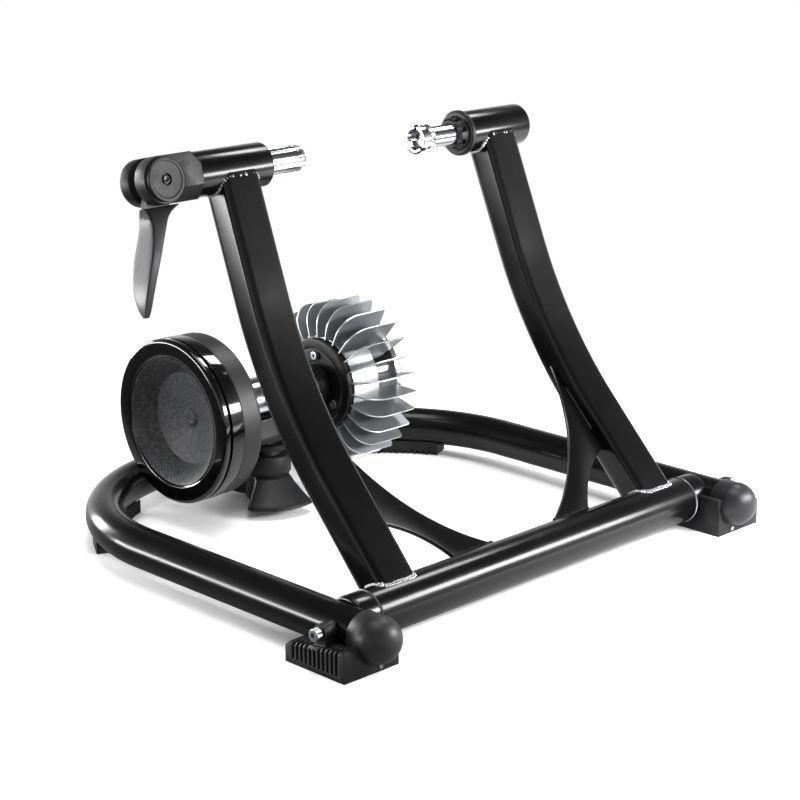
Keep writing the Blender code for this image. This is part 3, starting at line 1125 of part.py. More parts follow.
def make_rear_cover():
    centre = (0, ROLLER_Y, ROLLER_Z)
    left = COVER_LEFT
    right = COVER_LEFT + COVER_THICKNESS
    plug = DRUM_RADIUS - DRUM_WALL - GAP
    profile = [(left - 4 * MM, 0), (left - 4 * MM, plug), (left, plug), (left, DRUM_RADIUS + 0.5 * MM),
               (right - 1.5 * MM, DRUM_RADIUS + 0.5 * MM), (right, DRUM_RADIUS - MM), (right, 36 * MM),
               (right - 2 * MM, 33 * MM), (right - 2 * MM, 0)]
    cover = add_piece("drum_rear_cover", turned(profile, centre, sides=WHEEL_SIDES), "polished_aluminium",
                      "resistance_unit", centre)
    holes = bmesh.new()
    for index in range(3):
        angle = radians(COVER_SCREW_ANGLE + 120 * index)
        y = ROLLER_Y + COVER_SCREW_CIRCLE * cos(angle)
        z = ROLLER_Z + COVER_SCREW_CIRCLE * sin(angle)
        add_bar(holes, (right + MM, y, z), (right - 6 * MM, y, z), END_SCREW_RADIUS + GAP, 12)
        socket_screw(f"rear_cover_screw_{index + 1}", (right + GAP + 3.0 * MM, y, z), (-1, 0, 0),
                     END_SCREW_HEAD - MM, 3.0 * MM, END_SCREW_RADIUS, 8.0 * MM, "resistance_unit", 1.6 * MM)
    combine(cover, holes, "DIFFERENCE")


# Knob with two broad lobes under the bracket, and the screw that it raises

def knob_ring(height, radius, lobe):
    offsets = (-70, -58, -50, -42, -21, 0, 21, 42, 50, 58, 70, 90)
    points = []
    for half_turn in (0, 180):
        for offset in offsets:
            share = min(1.0, max(0.0, (58 - abs(offset)) / 16))
            reach = radius + (lobe - radius) * share
            angle = radians(KNOB_LOBE_ANGLE + half_turn + offset)
            points.append(Vector((BRACKET_X + reach * cos(angle), KNOB_Y + reach * sin(angle), height)))
    return points


def make_tension_knob():
    skirt_top = KNOB_BOTTOM + KNOB_SKIRT_HEIGHT
    collar_top = skirt_top + KNOB_COLLAR_HEIGHT
    bore = SCREW_RADIUS + GAP
    collar = KNOB_COLLAR_RADIUS
    waist = collar - 2 * MM
    lobe = KNOB_LOBE_RADIUS
    rings = [knob_ring(KNOB_BOTTOM, waist, lobe - 2 * MM),
             knob_ring(KNOB_BOTTOM + 1.5 * MM, waist, lobe),
             knob_ring(KNOB_BOTTOM + 5 * MM, waist, lobe - 1.5 * MM),
             knob_ring(KNOB_BOTTOM + 12 * MM, waist, lobe - 9 * MM),
             knob_ring(KNOB_BOTTOM + 20 * MM, waist, lobe - 17 * MM),
             knob_ring(skirt_top - MM, waist, collar + 4 * MM),
             knob_ring(skirt_top + 0.5 * MM, waist - 0.5 * MM, collar),
             knob_ring(skirt_top + 2 * MM, collar, collar),
             knob_ring(collar_top, KNOB_NECK_RADIUS, KNOB_NECK_RADIUS),
             knob_ring(BRACKET_Z - GAP, KNOB_NECK_RADIUS - 2 * MM, KNOB_NECK_RADIUS - 2 * MM),
             knob_ring(BRACKET_Z - GAP, bore, bore), knob_ring(SCREW_BOTTOM - MM, bore, bore)]
    add_piece("tension_knob", loft(rings), "black_plastic", "knob")
    tip = YOKE_FLOOR_Z - GAP
    profile = [(SCREW_BOTTOM, 0), (SCREW_BOTTOM, SCREW_RADIUS), (tip - 2.5 * MM, SCREW_RADIUS),
               (tip, 2.2 * MM), (tip, 0)]
    screw = turned(profile, (BRACKET_X, KNOB_Y, 0), "Z", SMALL_SIDES)
    add_piece("tension_screw", screw, "zinc_plate", "tension_screw_slide")


def build():
    clear_scene()
    for name, values in FINISHES.items():
        make_finish(name, *values)
    frame = bpy.data.objects.new("crossbar_axis", None)
    frame.location = (0, CROSSBAR_Y, 0)
    bpy.context.collection.objects.link(frame)
    for name, place in BODY_ORIGINS.items():
        empty = bpy.data.objects.new(name, None)
        empty.empty_display_size = 0.02
        empty.location = place
        empty.parent = frame
        bpy.context.collection.objects.link(empty)
    bpy.context.view_layer.update()
    make_base_tube()
    for side, label in ((-1, "left"), (1, "right")):
        make_end_cap(side, f"{label}_end_cap")
        make_front_foot(side, label)
        make_rear_pad(side, f"{label}_rear_pad")
        make_pivot_stub(side, label)
        make_upright(side, f"{label}_upright")
        make_gusset(side, f"{label}_gusset")
    make_crossbar()
    make_left_barrel()
    make_cam_housing()
    make_cam_bolt()
    make_clamp_lever()
    make_clamp_plunger()
    make_right_barrel()
    make_threaded_rod()
    make_axle_cup()
    make_lock_nut()
    make_unit_bracket()
    make_pivot_bolt()
    make_yoke()
    make_bearings()
    make_shroud()
    make_rotor()
    make_flywheel()
    make_mesh_liner()
    make_impeller()
    make_end_plate()
    make_drum()
    make_rear_cover()
    make_tension_knob()
    bpy.context.view_layer.update()


build()
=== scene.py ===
# Fluid bike trainer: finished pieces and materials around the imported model.
import bpy
import bmesh
import json
from math import atan2, cos, pi, radians, sin, sqrt, tan
from mathutils import Matrix, Vector


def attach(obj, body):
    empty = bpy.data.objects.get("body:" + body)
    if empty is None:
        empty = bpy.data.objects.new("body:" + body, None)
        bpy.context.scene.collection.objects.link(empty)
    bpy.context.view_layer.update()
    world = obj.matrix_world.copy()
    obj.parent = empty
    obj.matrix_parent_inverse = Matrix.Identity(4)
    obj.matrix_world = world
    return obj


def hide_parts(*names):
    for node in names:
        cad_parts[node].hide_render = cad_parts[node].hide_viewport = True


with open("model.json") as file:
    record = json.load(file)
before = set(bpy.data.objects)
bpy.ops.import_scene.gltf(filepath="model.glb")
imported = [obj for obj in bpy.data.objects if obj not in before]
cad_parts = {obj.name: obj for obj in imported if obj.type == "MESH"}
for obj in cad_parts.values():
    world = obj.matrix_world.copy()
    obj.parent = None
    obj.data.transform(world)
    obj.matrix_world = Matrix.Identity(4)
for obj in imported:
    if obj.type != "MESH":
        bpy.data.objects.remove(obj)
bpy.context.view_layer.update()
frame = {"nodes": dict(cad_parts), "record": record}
print("frame loaded")

mm = 0.001
crossbarY = -0.193  # metres from the middle of the object to the crossbar's axis

# Sizes that several pieces share, in millimetres from the crossbar's axis and the floor
layout = {
    "axisZ": 28.85, "tubeRadius": 19.05, "legX": 242.5, "cornerX": 67.5, "cornerY": 258.0, "legFront": -43.0,
    "crossbarRadius": 21.75, "axleY": 220.0, "axleZ": 372.7, "barrelRadius": 20.1, "barrelBore": 17.3,
    "rollerY": 349.4, "rollerZ": 107.2, "shaftBore": 8.3,
}
axle = Vector((0, layout["axleY"], layout["axleZ"]))
roller = Vector((0, layout["rollerY"], layout["rollerZ"]))
crossbarLine = Vector((0, 0, layout["axisZ"]))


# Materials

def linear(hexColour):
    channels = [int(hexColour[i:i + 2], 16) / 255 for i in (1, 3, 5)]
    return [c / 12.92 if c <= 0.04045 else ((c + 0.055) / 1.055) ** 2.4 for c in channels] + [1.0]


# Adds a node, sets its properties and sockets, and links sockets given as (node, output).
def addNode(tree, kind, sockets=None, **settings):
    made = tree.nodes.new(kind)
    for name, value in settings.items():
        setattr(made, name, value)
    for name, value in (sockets or {}).items():
        if isinstance(value, tuple) and isinstance(value[0], bpy.types.Node):
            tree.links.new(value[0].outputs[value[1]], made.inputs[name])
        else:
            made.inputs[name].default_value = value
    return made


def startMaterial(name, colour, roughness, metallic=0.0, **sockets):
    material = bpy.data.materials.new(name)
    material.use_nodes = True
    tree = material.node_tree
    shader = tree.nodes["Principled BSDF"]
    shader.inputs["Base Color"].default_value = linear(colour)
    shader.inputs["Roughness"].default_value = roughness
    shader.inputs["Metallic"].default_value = metallic
    for socket, value in sockets.items():
        shader.inputs[socket.replace("_", " ")].default_value = value
    return material, tree, shader


# Mottles colour and roughness with one noise, and roughens the surface with a finer one.
# sizes are the real sizes of the mottling and the grain in millimetres.
def weathered(start, colours, roughness, sizes, grain, stretch=(1, 1, 1)):
    material, tree, shader = start
    place = addNode(tree, "ShaderNodeTexCoord")
    mapping = addNode(tree, "ShaderNodeMapping", {"Vector": (place, "Object"), "Scale": stretch})
    mottle = addNode(tree, "ShaderNodeTexNoise", {"Vector": (mapping, 0), "Scale": 1000 / sizes[0],
                                                  "Detail": 4.0, "Roughness": 0.55})
    tint = addNode(tree, "ShaderNodeMix", {0: (mottle, 0), 6: linear(colours[0]), 7: linear(colours[1])},
                   data_type="RGBA")
    tree.links.new(tint.outputs[2], shader.inputs["Base Color"])
    rough = addNode(tree, "ShaderNodeMapRange", {"Value": (mottle, 0), "From Min": 0.3, "From Max": 0.7,
                                                 "To Min": roughness[0], "To Max": roughness[1]})
    tree.links.new(rough.outputs[0], shader.inputs["Roughness"])
    fine = addNode(tree, "ShaderNodeTexNoise", {"Vector": (mapping, 0), "Scale": 1000 / sizes[1],
                                                "Detail": 2.0})
    bump = addNode(tree, "ShaderNodeBump", {"Height": (fine, 0), "Strength": grain, "Distance": 0.0002})
    tree.links.new(bump.outputs[0], shader.inputs["Normal"])
    return material


# Gloss black polyester powder coat on steel tube: a deep even black with a faint orange peel
blackPaint = weathered(startMaterial("glossBlackPowderCoat", "#09090a", 0.2, Specular_IOR_Level=0.32),
                       ("#070708", "#0c0c0d"), (0.17, 0.23), (60, 1.6), 0.08)

# Satin black paint on the yoke, bracket and carriers: thinner, with a softer gloss
satinPaint = weathered(startMaterial("satinBlackPaint", "#0c0c0d", 0.4, Specular_IOR_Level=0.3),
                       ("#0a0a0b", "#121213"), (0.36, 0.48), (30, 0.9), 0.12)

# Moulded glass-filled nylon: matte, fine grained, a little grey
blackNylon = weathered(startMaterial("mouldedBlackNylon", "#151517", 0.48, Specular_IOR_Level=0.35),
                       ("#111113", "#1a1a1c"), (0.42, 0.54), (12, 0.7), 0.25)

# Soft moulded polyurethane of the end caps: smoother than the nylon, with a dull sheen
capPlastic = weathered(startMaterial("blackCapPlastic", "#1b1b1c", 0.42, Specular_IOR_Level=0.4),
                       ("#18181a", "#222224"), (0.38, 0.5), (18, 1.1), 0.18)

# The lever's left face: satin nylon painted a lighter grey as a sheen, where that face catches the light beside the
# black
leverPaintedSheen = weathered(startMaterial("nylonWithPaintedSheen", "#565658", 0.36, Specular_IOR_Level=0.4),
                      ("#4e4e50", "#626264"), (0.3, 0.42), (25, 0.8), 0.15)

# Black rubber of the rear pads and the shaft seal: dull, slightly dusty
blackRubber = weathered(startMaterial("blackRubber", "#121213", 0.8),
                        ("#0f0f10", "#1a1a1a"), (0.72, 0.86), (9, 0.5), 0.3)

# High-gloss stoved enamel on the flywheel's cast iron: mirror-like and nearly flawless
enamel = weathered(startMaterial("stovedBlackEnamel", "#060607", 0.08, Coat_Weight=0.3, Coat_Roughness=0.03),
                   ("#050506", "#09090a"), (0.07, 0.12), (80, 4.0), 0.03)

# Moulded ABS of the flywheel's cover: an even satin black
coverPlastic = weathered(startMaterial("satinBlackAbs", "#161617", 0.46),
                         ("#131314", "#1b1b1c"), (0.42, 0.52), (40, 0.8), 0.15)

# Chrome plate on turned steel: bright, with faint turning marks
chrome = weathered(startMaterial("chromePlate", "#d4d5d8", 0.1, 1.0),
                   ("#c8c9cc", "#dedfe2"), (0.08, 0.16), (14, 0.5), 0.05, (6, 1, 1))

# Bright zinc plate on screws and washers: pale grey with a fine mottle
zincPlate = weathered(startMaterial("brightZincPlate", "#b4b7bb", 0.3, 1.0),
                      ("#a2a5aa", "#c6c9cd"), (0.26, 0.4), (2.5, 0.6), 0.12)

# Polished aluminium of the drum: brushed along its length
polishedAluminium = weathered(startMaterial("polishedAluminium", "#c9cacc", 0.2, 1.0),
                              ("#b6b7ba", "#d8d9db"), (0.16, 0.28), (8, 0.6), 0.08, (0.2, 1, 1))

# Rolled aluminium sheet of the fins: grey faces with rolling marks
finSheet = weathered(startMaterial("rolledAluminiumSheet", "#8d8f92", 0.34, 0.55),
                     ("#7b7d80", "#9d9fa2"), (0.28, 0.42), (10, 0.7), 0.12, (0.25, 1, 1))

# Sheared and deburred fin edges, painted near-white as a highlight where they catch the light along their whole
# length
finEdgeHighlight = weathered(startMaterial("finEdgePaintedHighlight", "#e9eaec", 0.32, 1.0),
                    ("#dfe0e2", "#f2f3f4"), (0.28, 0.4), (4, 0.4), 0.1)

# Arc weld under paint: ripples, with near-white noise patches painted on as glints where the ripples catch the light
weldPaintedGlints = weathered(startMaterial("weldWithPaintedGlints", "#9a9b9e", 0.24, 0.8),
                      ("#1e1e20", "#f0f1f4"), (0.16, 0.3), (2.6, 0.8), 0.25)

# Woven steel wire cloth painted black. The weave is drawn at 2.2 mm so that it shows: crowns painted grey as
# highlight, openings near-black as painted shade
meshSize = {"pitch": 2.2, "wireHighlight": "#8b8c8f", "gapShade": "#060607", "shineNoiseScale": 260.0}
wireCloth, tree, shader = startMaterial("wovenWireCloth", "#303032", 0.42, 0.5)
uv = addNode(tree, "ShaderNodeUVMap", uv_map="weave")
parts = addNode(tree, "ShaderNodeSeparateXYZ", {0: (uv, 0)})
waves = []
for axis in (0, 1):
    turns = addNode(tree, "ShaderNodeMath", {0: (parts, axis), 1: 2 * pi * 1000 / meshSize["pitch"]},
                    operation="MULTIPLY")
    waves.append(addNode(tree, "ShaderNodeMath", {0: (turns, 0)}, operation="SINE"))
weave = addNode(tree, "ShaderNodeMath", {0: (waves[0], 0), 1: (waves[1], 0)}, operation="MULTIPLY")
height = addNode(tree, "ShaderNodeMapRange", {"Value": (weave, 0), "From Min": -0.1, "From Max": 0.9})
# Noise that dims the painted highlight on the crowns in patches
coord = addNode(tree, "ShaderNodeTexCoord")
shineNoise = addNode(tree, "ShaderNodeTexNoise", {"Vector": (coord, "Object"), "Scale": meshSize["shineNoiseScale"],
                                            "Detail": 3.0})
shinePatch = addNode(tree, "ShaderNodeMapRange", {"Value": (shineNoise, 0), "From Min": 0.35, "From Max": 0.65,
                                             "To Min": 0.45, "To Max": 1.0})
# Painted highlight: bright on the wire crowns, dark as painted shade in the openings
shine = addNode(tree, "ShaderNodeMath", {0: (height, 0), 1: (shinePatch, 0)}, operation="MULTIPLY")
tint = addNode(tree, "ShaderNodeMix", {0: (shine, 0), 6: linear(meshSize["gapShade"]),
                                       7: linear(meshSize["wireHighlight"])}, data_type="RGBA")
tree.links.new(tint.outputs[2], shader.inputs["Base Color"])
bump = addNode(tree, "ShaderNodeBump", {"Height": (height, 0), "Strength": 0.6, "Distance": 0.0006})
tree.links.new(bump.outputs[0], shader.inputs["Normal"])
print("materials made")


# Mesh helpers. Every mesh is built in millimetres from the crossbar's axis.

def vertsIn(items):
    return [item for item in items if isinstance(item, bmesh.types.BMVert)]


def edgesIn(items):
    return [item for item in items if isinstance(item, bmesh.types.BMEdge)]


# Turns a bmesh into mesh data. It is sorted by place first, so that booleans give the same result in each run.
def meshData(mesh, name):
    for items, place in ((mesh.verts, lambda vert: vert.co[:]),
                         (mesh.edges, lambda edge: sorted(vert.index for vert in edge.verts)),
                         (mesh.faces, lambda face: sorted(vert.index for vert in face.verts))):
        for index, item in enumerate(sorted(items, key=place)):
            item.index = index
        items.sort()
    data = bpy.data.meshes.new(name)
    mesh.to_mesh(data)
    mesh.free()
    return data


def linked(name, data):
    item = bpy.data.objects.new(name, data)
    bpy.context.scene.collection.objects.link(item)
    return item


def addPiece(name, mesh, materials, body, slotName, *nodes, sharp=35, pick=None):
    bmesh.ops.remove_doubles(mesh, verts=mesh.verts, dist=0.001)
    bmesh.ops.recalc_face_normals(mesh, faces=mesh.faces)
    bmesh.ops.scale(mesh, vec=(mm, mm, mm), verts=mesh.verts)
    bmesh.ops.translate(mesh, vec=(0, crossbarY, 0), verts=mesh.verts)
    if pick:  # chooses the material of each face
        mesh.normal_update()
        for face in mesh.faces:
            face.material_index = pick(face)
    data = meshData(mesh, name)
    data.shade_smooth()
    data.set_sharp_from_angle(angle=radians(sharp))
    piece = linked(name, data)
    for material in (materials if isinstance(materials, list) else [materials]):
        data.materials.append(material)
    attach(piece, body)
    if nodes:
        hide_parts(*nodes)


# Rounds the corners of a profile. Each point may carry its own radius as a third number.
def rounded(profile, radius, steps=4):
    result = []
    for index, point in enumerate(profile):
        here = Vector(point[:2])
        bend = point[2] if len(point) > 2 else radius
        if index in (0, len(profile) - 1) or bend <= 0:
            result.append(here)
            continue
        before = Vector(profile[index - 1][:2]) - here
        after = Vector(profile[index + 1][:2]) - here
        bend = min(bend, before.length * 0.49, after.length * 0.49)
        first = here + before.normalized() * bend
        last = here + after.normalized() * bend
        for step in range(steps + 1):
            t = step / steps
            result.append(first * (1 - t) ** 2 + here * 2 * t * (1 - t) + last * t ** 2)
    return [(point.x, point.y) for point in result]


# For each axis: the way along it, and the way in which a profile's radius points
turnAxes = {"X": ((1, 0, 0), (0, 0, 1)), "Y": ((0, 1, 0), (0, 0, 1)), "Z": ((0, 0, 1), (1, 0, 0))}


# Spins a profile of (distance along the axis, radius) about an axis through a point.
def lathe(profile, centre=(0, 0, 0), axis="X", steps=96, ring=False):
    along, across = [Vector(way) for way in turnAxes[axis]]
    mesh = bmesh.new()
    points = [mesh.verts.new(along * place + across * radius) for place, radius in profile]
    edges = [mesh.edges.new(pair) for pair in zip(points, points[1:])]
    if ring:
        edges.append(mesh.edges.new((points[-1], points[0])))
    bmesh.ops.spin(mesh, geom=points + edges, cent=(0, 0, 0), axis=along, angle=2 * pi,
                   steps=steps, use_merge=True)
    bmesh.ops.remove_doubles(mesh, verts=mesh.verts, dist=0.0005)
    bmesh.ops.translate(mesh, verts=mesh.verts, vec=centre)
    bmesh.ops.recalc_face_normals(mesh, faces=mesh.faces)
    return mesh


# Ring whose profile starts and ends in the same point
def turnedRing(profile, centre=(0, 0, 0), soft=0.3, softSteps=4, steps=96):
    return lathe(rounded(profile, soft, softSteps)[:-1], centre, steps=steps, ring=True)


def rod(start, end, radius, sides=48):
    mesh = bmesh.new()
    start, end = Vector(start), Vector(end)
    turn = Vector((0, 0, 1)).rotation_difference(end - start).to_matrix().to_4x4()
    bmesh.ops.create_cone(mesh, cap_ends=True, segments=sides, radius1=radius, radius2=radius,
                          depth=(end - start).length, matrix=Matrix.Translation((start + end) / 2) @ turn)
    return mesh


def box(low, high, turn=Matrix.Identity(4)):
    mesh = bmesh.new()
    low, high = Vector(low), Vector(high)
    place = turn @ Matrix.Translation((low + high) / 2) @ Matrix.Diagonal((*(high - low), 1))
    bmesh.ops.create_cube(mesh, size=1, matrix=place)
    return mesh


def joined(*meshes):
    whole = bmesh.new()
    for mesh in meshes:
        data = meshData(mesh, "part")
        whole.from_mesh(data)
        bpy.data.meshes.remove(data)
    return whole


# Applies modifiers and boolean tools to a mesh and returns the result as a new bmesh.
def finished(mesh, *settings, tools=()):
    blank = linked("blank", meshData(mesh, "blank"))
    spare = []
    for operation, tool in tools:
        toolObject = linked("tool", meshData(tool, "tool"))
        modifier = blank.modifiers.new("carve", "BOOLEAN")
        modifier.operation = operation
        modifier.object = toolObject
        modifier.solver = "EXACT"
        spare.append(toolObject)
    for kind, values in settings:
        modifier = blank.modifiers.new(kind, kind)
        for key, value in values.items():
            setattr(modifier, key, value)
    bpy.context.view_layer.update()
    result = bpy.data.meshes.new_from_object(blank.evaluated_get(bpy.context.evaluated_depsgraph_get()))
    made = bmesh.new()
    made.from_mesh(result)
    for item in [blank, *spare]:
        old = item.data
        bpy.data.objects.remove(item)
        bpy.data.meshes.remove(old)
    bpy.data.meshes.remove(result)
    return made


def carved(mesh, *tools):
    return finished(mesh, tools=[("DIFFERENCE", tool) for tool in tools])


# Softens the edges that are sharper than an angle.
def softened(mesh, width, segments=2, angle=35):
    bmesh.ops.remove_doubles(mesh, verts=mesh.verts, dist=0.002)
    bmesh.ops.dissolve_limit(mesh, angle_limit=radians(1), verts=mesh.verts, edges=mesh.edges)
    return finished(mesh, ("BEVEL", {"width": width, "segments": segments, "limit_method": "ANGLE",
                                     "angle_limit": radians(angle), "harden_normals": False}))


# Bevels the right-angled edges of a flat plate.
def bevelRims(mesh, offset, segments):
    rims = [edge for edge in mesh.edges if len(edge.link_faces) == 2 and edge.calc_face_angle() > radians(60)]
    bmesh.ops.bevel(mesh, geom=rims, offset=offset, segments=segments, profile=0.5, affect="EDGES", material=-1)


# Merged copy of a CAD node in millimetres, ready to be finished
def nodeCopy(name):
    mesh = bmesh.new()
    mesh.from_mesh(frame["nodes"][name].data)
    bmesh.ops.translate(mesh, vec=(0, -crossbarY, 0), verts=mesh.verts)
    bmesh.ops.scale(mesh, vec=(1 / mm, 1 / mm, 1 / mm), verts=mesh.verts)
    bmesh.ops.remove_doubles(mesh, verts=mesh.verts, dist=0.01)
    return mesh


def extrudeLoop(mesh, edges, move):
    grown = bmesh.ops.extrude_edge_only(mesh, edges=edges)["geom"]
    bmesh.ops.translate(mesh, vec=move, verts=vertsIn(grown))
    return edgesIn(grown)


def spinLoop(mesh, edges, centre, axis, angle, steps):
    return edgesIn(bmesh.ops.spin(mesh, geom=edges, cent=centre, axis=axis, angle=angle, steps=steps)["geom_last"])


# Pulls faces out into a plate or a prism.
def extrudeFaces(mesh, faces, move):
    grown = bmesh.ops.extrude_face_region(mesh, geom=faces)["geom"]
    bmesh.ops.translate(mesh, vec=move, verts=vertsIn(grown))


def closeEnds(mesh):
    bmesh.ops.holes_fill(mesh, edges=[edge for edge in mesh.edges if edge.is_boundary], sides=0)


# Presses the vertices that a test picks towards the X axis by a depth, in a mesh built around that axis.
def pressIn(mesh, picks, depth):
    for vert in mesh.verts:
        if picks(vert.co):
            vert.co.yz = vert.co.yz * (1 - depth / vert.co.yz.length)


# Base tube

baseTube = {"sides": 72, "cornerSteps": 40}


def makeBaseTube():
    mesh = bmesh.new()
    turn = Matrix.Rotation(pi / 2, 4, "X")
    start = Matrix.Translation((-layout["legX"], layout["legFront"], layout["axisZ"])) @ turn
    bmesh.ops.create_circle(mesh, segments=baseTube["sides"], radius=layout["tubeRadius"], matrix=start)
    legLength = layout["cornerY"] - layout["legFront"]
    edges = extrudeLoop(mesh, mesh.edges[:], (0, legLength, 0))
    for cornerX, move in ((-layout["cornerX"], (2 * layout["cornerX"], 0, 0)),
                          (layout["cornerX"], (0, -legLength, 0))):
        centre = (cornerX, layout["cornerY"], layout["axisZ"])
        edges = spinLoop(mesh, edges, centre, (0, 0, 1), -pi / 2, baseTube["cornerSteps"])
        edges = extrudeLoop(mesh, edges, move)
    closeEnds(mesh)
    addPiece("bent_base_tube", mesh, blackPaint, "base", "black_paint", "base_tube")


makeBaseTube()

# End caps: a ball on a plain skirt, with a parting groove between them
endCap = {"ball": 21.0, "skirt": 20.45, "bore": 19.35, "boreEnd": -43.3, "groove": 0.7, "skirtEnd": -28.0,
          "rim": -45.0}


def makeEndCap(side, label):
    rim, ball, end = endCap["rim"], endCap["ball"], endCap["skirtEnd"]
    grooveFloor = ball - endCap["groove"]
    profile = [(rim - ball * sin(radians(a)), ball * cos(radians(a))) for a in range(90, -1, -5)]
    profile[0] = (rim - ball, 0)
    profile += [(rim + 0.6, ball), (rim + 0.7, grooveFloor), (rim + 1.5, grooveFloor), (rim + 1.6, endCap["skirt"]),
                (end - 0.6, endCap["skirt"]), (end, endCap["skirt"] - 0.5), (end, endCap["bore"]),
                (endCap["boreEnd"], endCap["bore"]), (endCap["boreEnd"], 0)]
    mesh = lathe(profile, (side * layout["legX"], 0, layout["axisZ"]), "Y")
    addPiece(f"{label}_ball_cap", mesh, capPlastic, "base", "black_plastic", f"{label}_end_cap", sharp=50)


# Front feet: softened blocks with their ribs, and the socket bolt that clamps each to its leg
footSize = {"outer": 37.2, "front": -45.0, "length": 71.0, "crest": 27.0, "slope": 9.5}
footSlots = {"count": 11, "first": -35.5, "pitch": 5.2, "floor": 4.8, "edge": 2.2, "faceWidth": 3.0,
             "faceDepth": 2.7, "topWidth": 2.8, "topDepth": 2.4, "topReach": 9.0, "boltRoom": 8.0}
footBolt = {"y": -10.5, "z": 33.5, "head": 39.5, "shankEnd": 19.2, "radius": 5.6, "length": 7.0, "shank": 3.0,
            "socket": 2.6, "knurls": 36}
footPin = {"inset": 3.8, "z": 4.3, "radius": 2.2, "front": -46.0, "rear": -34.3}
# Of every socket screw: edge and knurl are shares of the head's radius, socketDepth of its length
screwShape = {"edge": 0.14, "knurl": 0.965, "rim": 0.97, "socketDepth": 0.6}


# Socket screw along X with a knurled head; way is the side, 1 or -1, to which its shank goes.
def socketScrew(face, way, size, reach):
    radius, length, shank = size["radius"], size["length"], size["shank"]
    profile = rounded([(0, 0), (0, radius), (way * length, radius), (way * length, shank),
                       (way * reach, shank), (way * reach, 0)], radius * screwShape["edge"])
    mesh = lathe(profile, steps=72)
    for vert in mesh.verts:  # knurled rim, raised on every other step
        onRim = vert.co.yz.length > radius * screwShape["rim"]
        if onRim and round(atan2(*vert.co.yz) * size["knurls"] / pi) % 2:
            vert.co.yz = vert.co.yz * screwShape["knurl"]
    socketEnd = way * length * screwShape["socketDepth"]
    mesh = carved(mesh, rod((-way, 0, 0), (socketEnd, 0, 0), size["socket"], 6))
    bmesh.ops.translate(mesh, vec=face, verts=mesh.verts)
    return mesh


def makeFoot(side, label):
    outer = side * (layout["legX"] + footSize["outer"])

    def slotBox(y, reach, width, bottom, top):
        low, high = sorted((outer + side, outer - side * reach))
        return box((low, y - width / 2, bottom), (high, y + width / 2, top))

    tops, faces = [], []
    for index in range(footSlots["count"]):
        y = footSlots["first"] + footSlots["pitch"] * index
        crest = footSize["crest"] - footSize["slope"] * (y - footSize["front"]) / footSize["length"]
        if abs(y - footBolt["y"]) > footSlots["boltRoom"]:
            tops.append(slotBox(y, footSlots["topReach"], footSlots["topWidth"], crest - footSlots["topDepth"],
                                crest + 6))
        faces.append(slotBox(y, footSlots["faceDepth"], footSlots["faceWidth"], footSlots["floor"],
                             crest - footSlots["edge"]))
    block = softened(carved(nodeCopy(f"{label}_front_foot"), joined(*tops), joined(*faces)), 0.4)
    addPiece(f"{label}_foot_block", block, blackNylon, "base", "black_plastic", f"{label}_front_foot")
    headX = side * (layout["legX"] + footBolt["head"])
    bolt = socketScrew((headX, footBolt["y"], footBolt["z"]), -side, footBolt,
                       footBolt["head"] - footBolt["shankEnd"])
    addPiece(f"{label}_foot_socket_bolt", bolt, zincPlate, "base", "zinc_plate", f"{label}_foot_clamp_bolt")
    profile = rounded([(footPin["front"], 0), (footPin["front"], footPin["radius"]),
                       (footPin["rear"], footPin["radius"]), (footPin["rear"], 0)], 0.5)
    pin = lathe(profile, (side * (layout["legX"] - footPin["inset"]), 0, footPin["z"]), "Y", 32)
    addPiece(f"{label}_foot_pin_head", pin, zincPlate, "base", "zinc_plate", f"{label}_foot_pin")


# Stub on each leg, with the spigot inside the crossbar, and the washer between them
stubSize = {"outer": 234.0, "shoulder": 213.25, "spigot": 19.45, "inner": 171.45}
washerProfile = [(211.75, 19.75), (211.75, 22.0), (211.9, 22.2), (212.1, 22.0), (212.35, 21.8), (212.6, 22.0),
                 (212.8, 22.2), (212.95, 22.0), (212.95, 19.75)]


def makePivot(side, label):
    radius = layout["crossbarRadius"]
    profile = rounded([(stubSize["outer"], 0), (stubSize["outer"], radius, 3.5), (stubSize["shoulder"], radius, 0.7),
                       (stubSize["shoulder"], stubSize["spigot"]), (stubSize["inner"], stubSize["spigot"]),
                       (stubSize["inner"], 0)], 0.3)
    mesh = lathe([(side * x, r) for x, r in profile], crossbarLine)
    addPiece(f"{label}_stub", mesh, blackPaint, "base", "black_paint", f"{label}_pivot_stub")
    mesh = lathe([(side * x, r) for x, r in washerProfile], crossbarLine, ring=True)
    addPiece(f"{label}_washer", mesh, zincPlate, "base", "zinc_plate", f"{label}_pivot_washer")


for side, label in ((-1, "left"), (1, "right")):
    makeEndCap(side, label)
    makeFoot(side, label)
    makePivot(side, label)
    pad = softened(nodeCopy(f"{label}_rear_pad"), 0.35, 1, 40)
    addPiece(f"{label}_ribbed_pad", pad, blackRubber, "base", "black_rubber", f"{label}_rear_pad")
print("base made")

# Crossbar and uprights

crossbarSize = {"half": 211.45, "bore": 19.75, "edge": 0.9}
half, bore, edge = crossbarSize["half"], crossbarSize["bore"], crossbarSize["edge"]
mesh = turnedRing([(-half + 5, bore), (-half, bore), (-half, layout["crossbarRadius"], edge),
                   (half, layout["crossbarRadius"], edge), (half, bore), (-half + 5, bore)], crossbarLine, 0.1)
addPiece("pivoting_crossbar", mesh, blackPaint, "upright_frame", "black_paint", "crossbar")

# lower and upper are the leans in degrees below and above the bend, footX and topX where the axis starts and ends
uprightSize = {"width": 42.5, "depth": 35.4, "frontCorner": 7.0, "rearCorner": 12.5, "cornerSteps": 8,
               "lower": 43.1, "upper": 21.6, "bendHeight": 116.3, "bendRadius": 467.0, "bendSteps": 36,
               "footX": 175.2, "topX": 167.4}
uprightRise = layout["axleZ"] - layout["axisZ"]


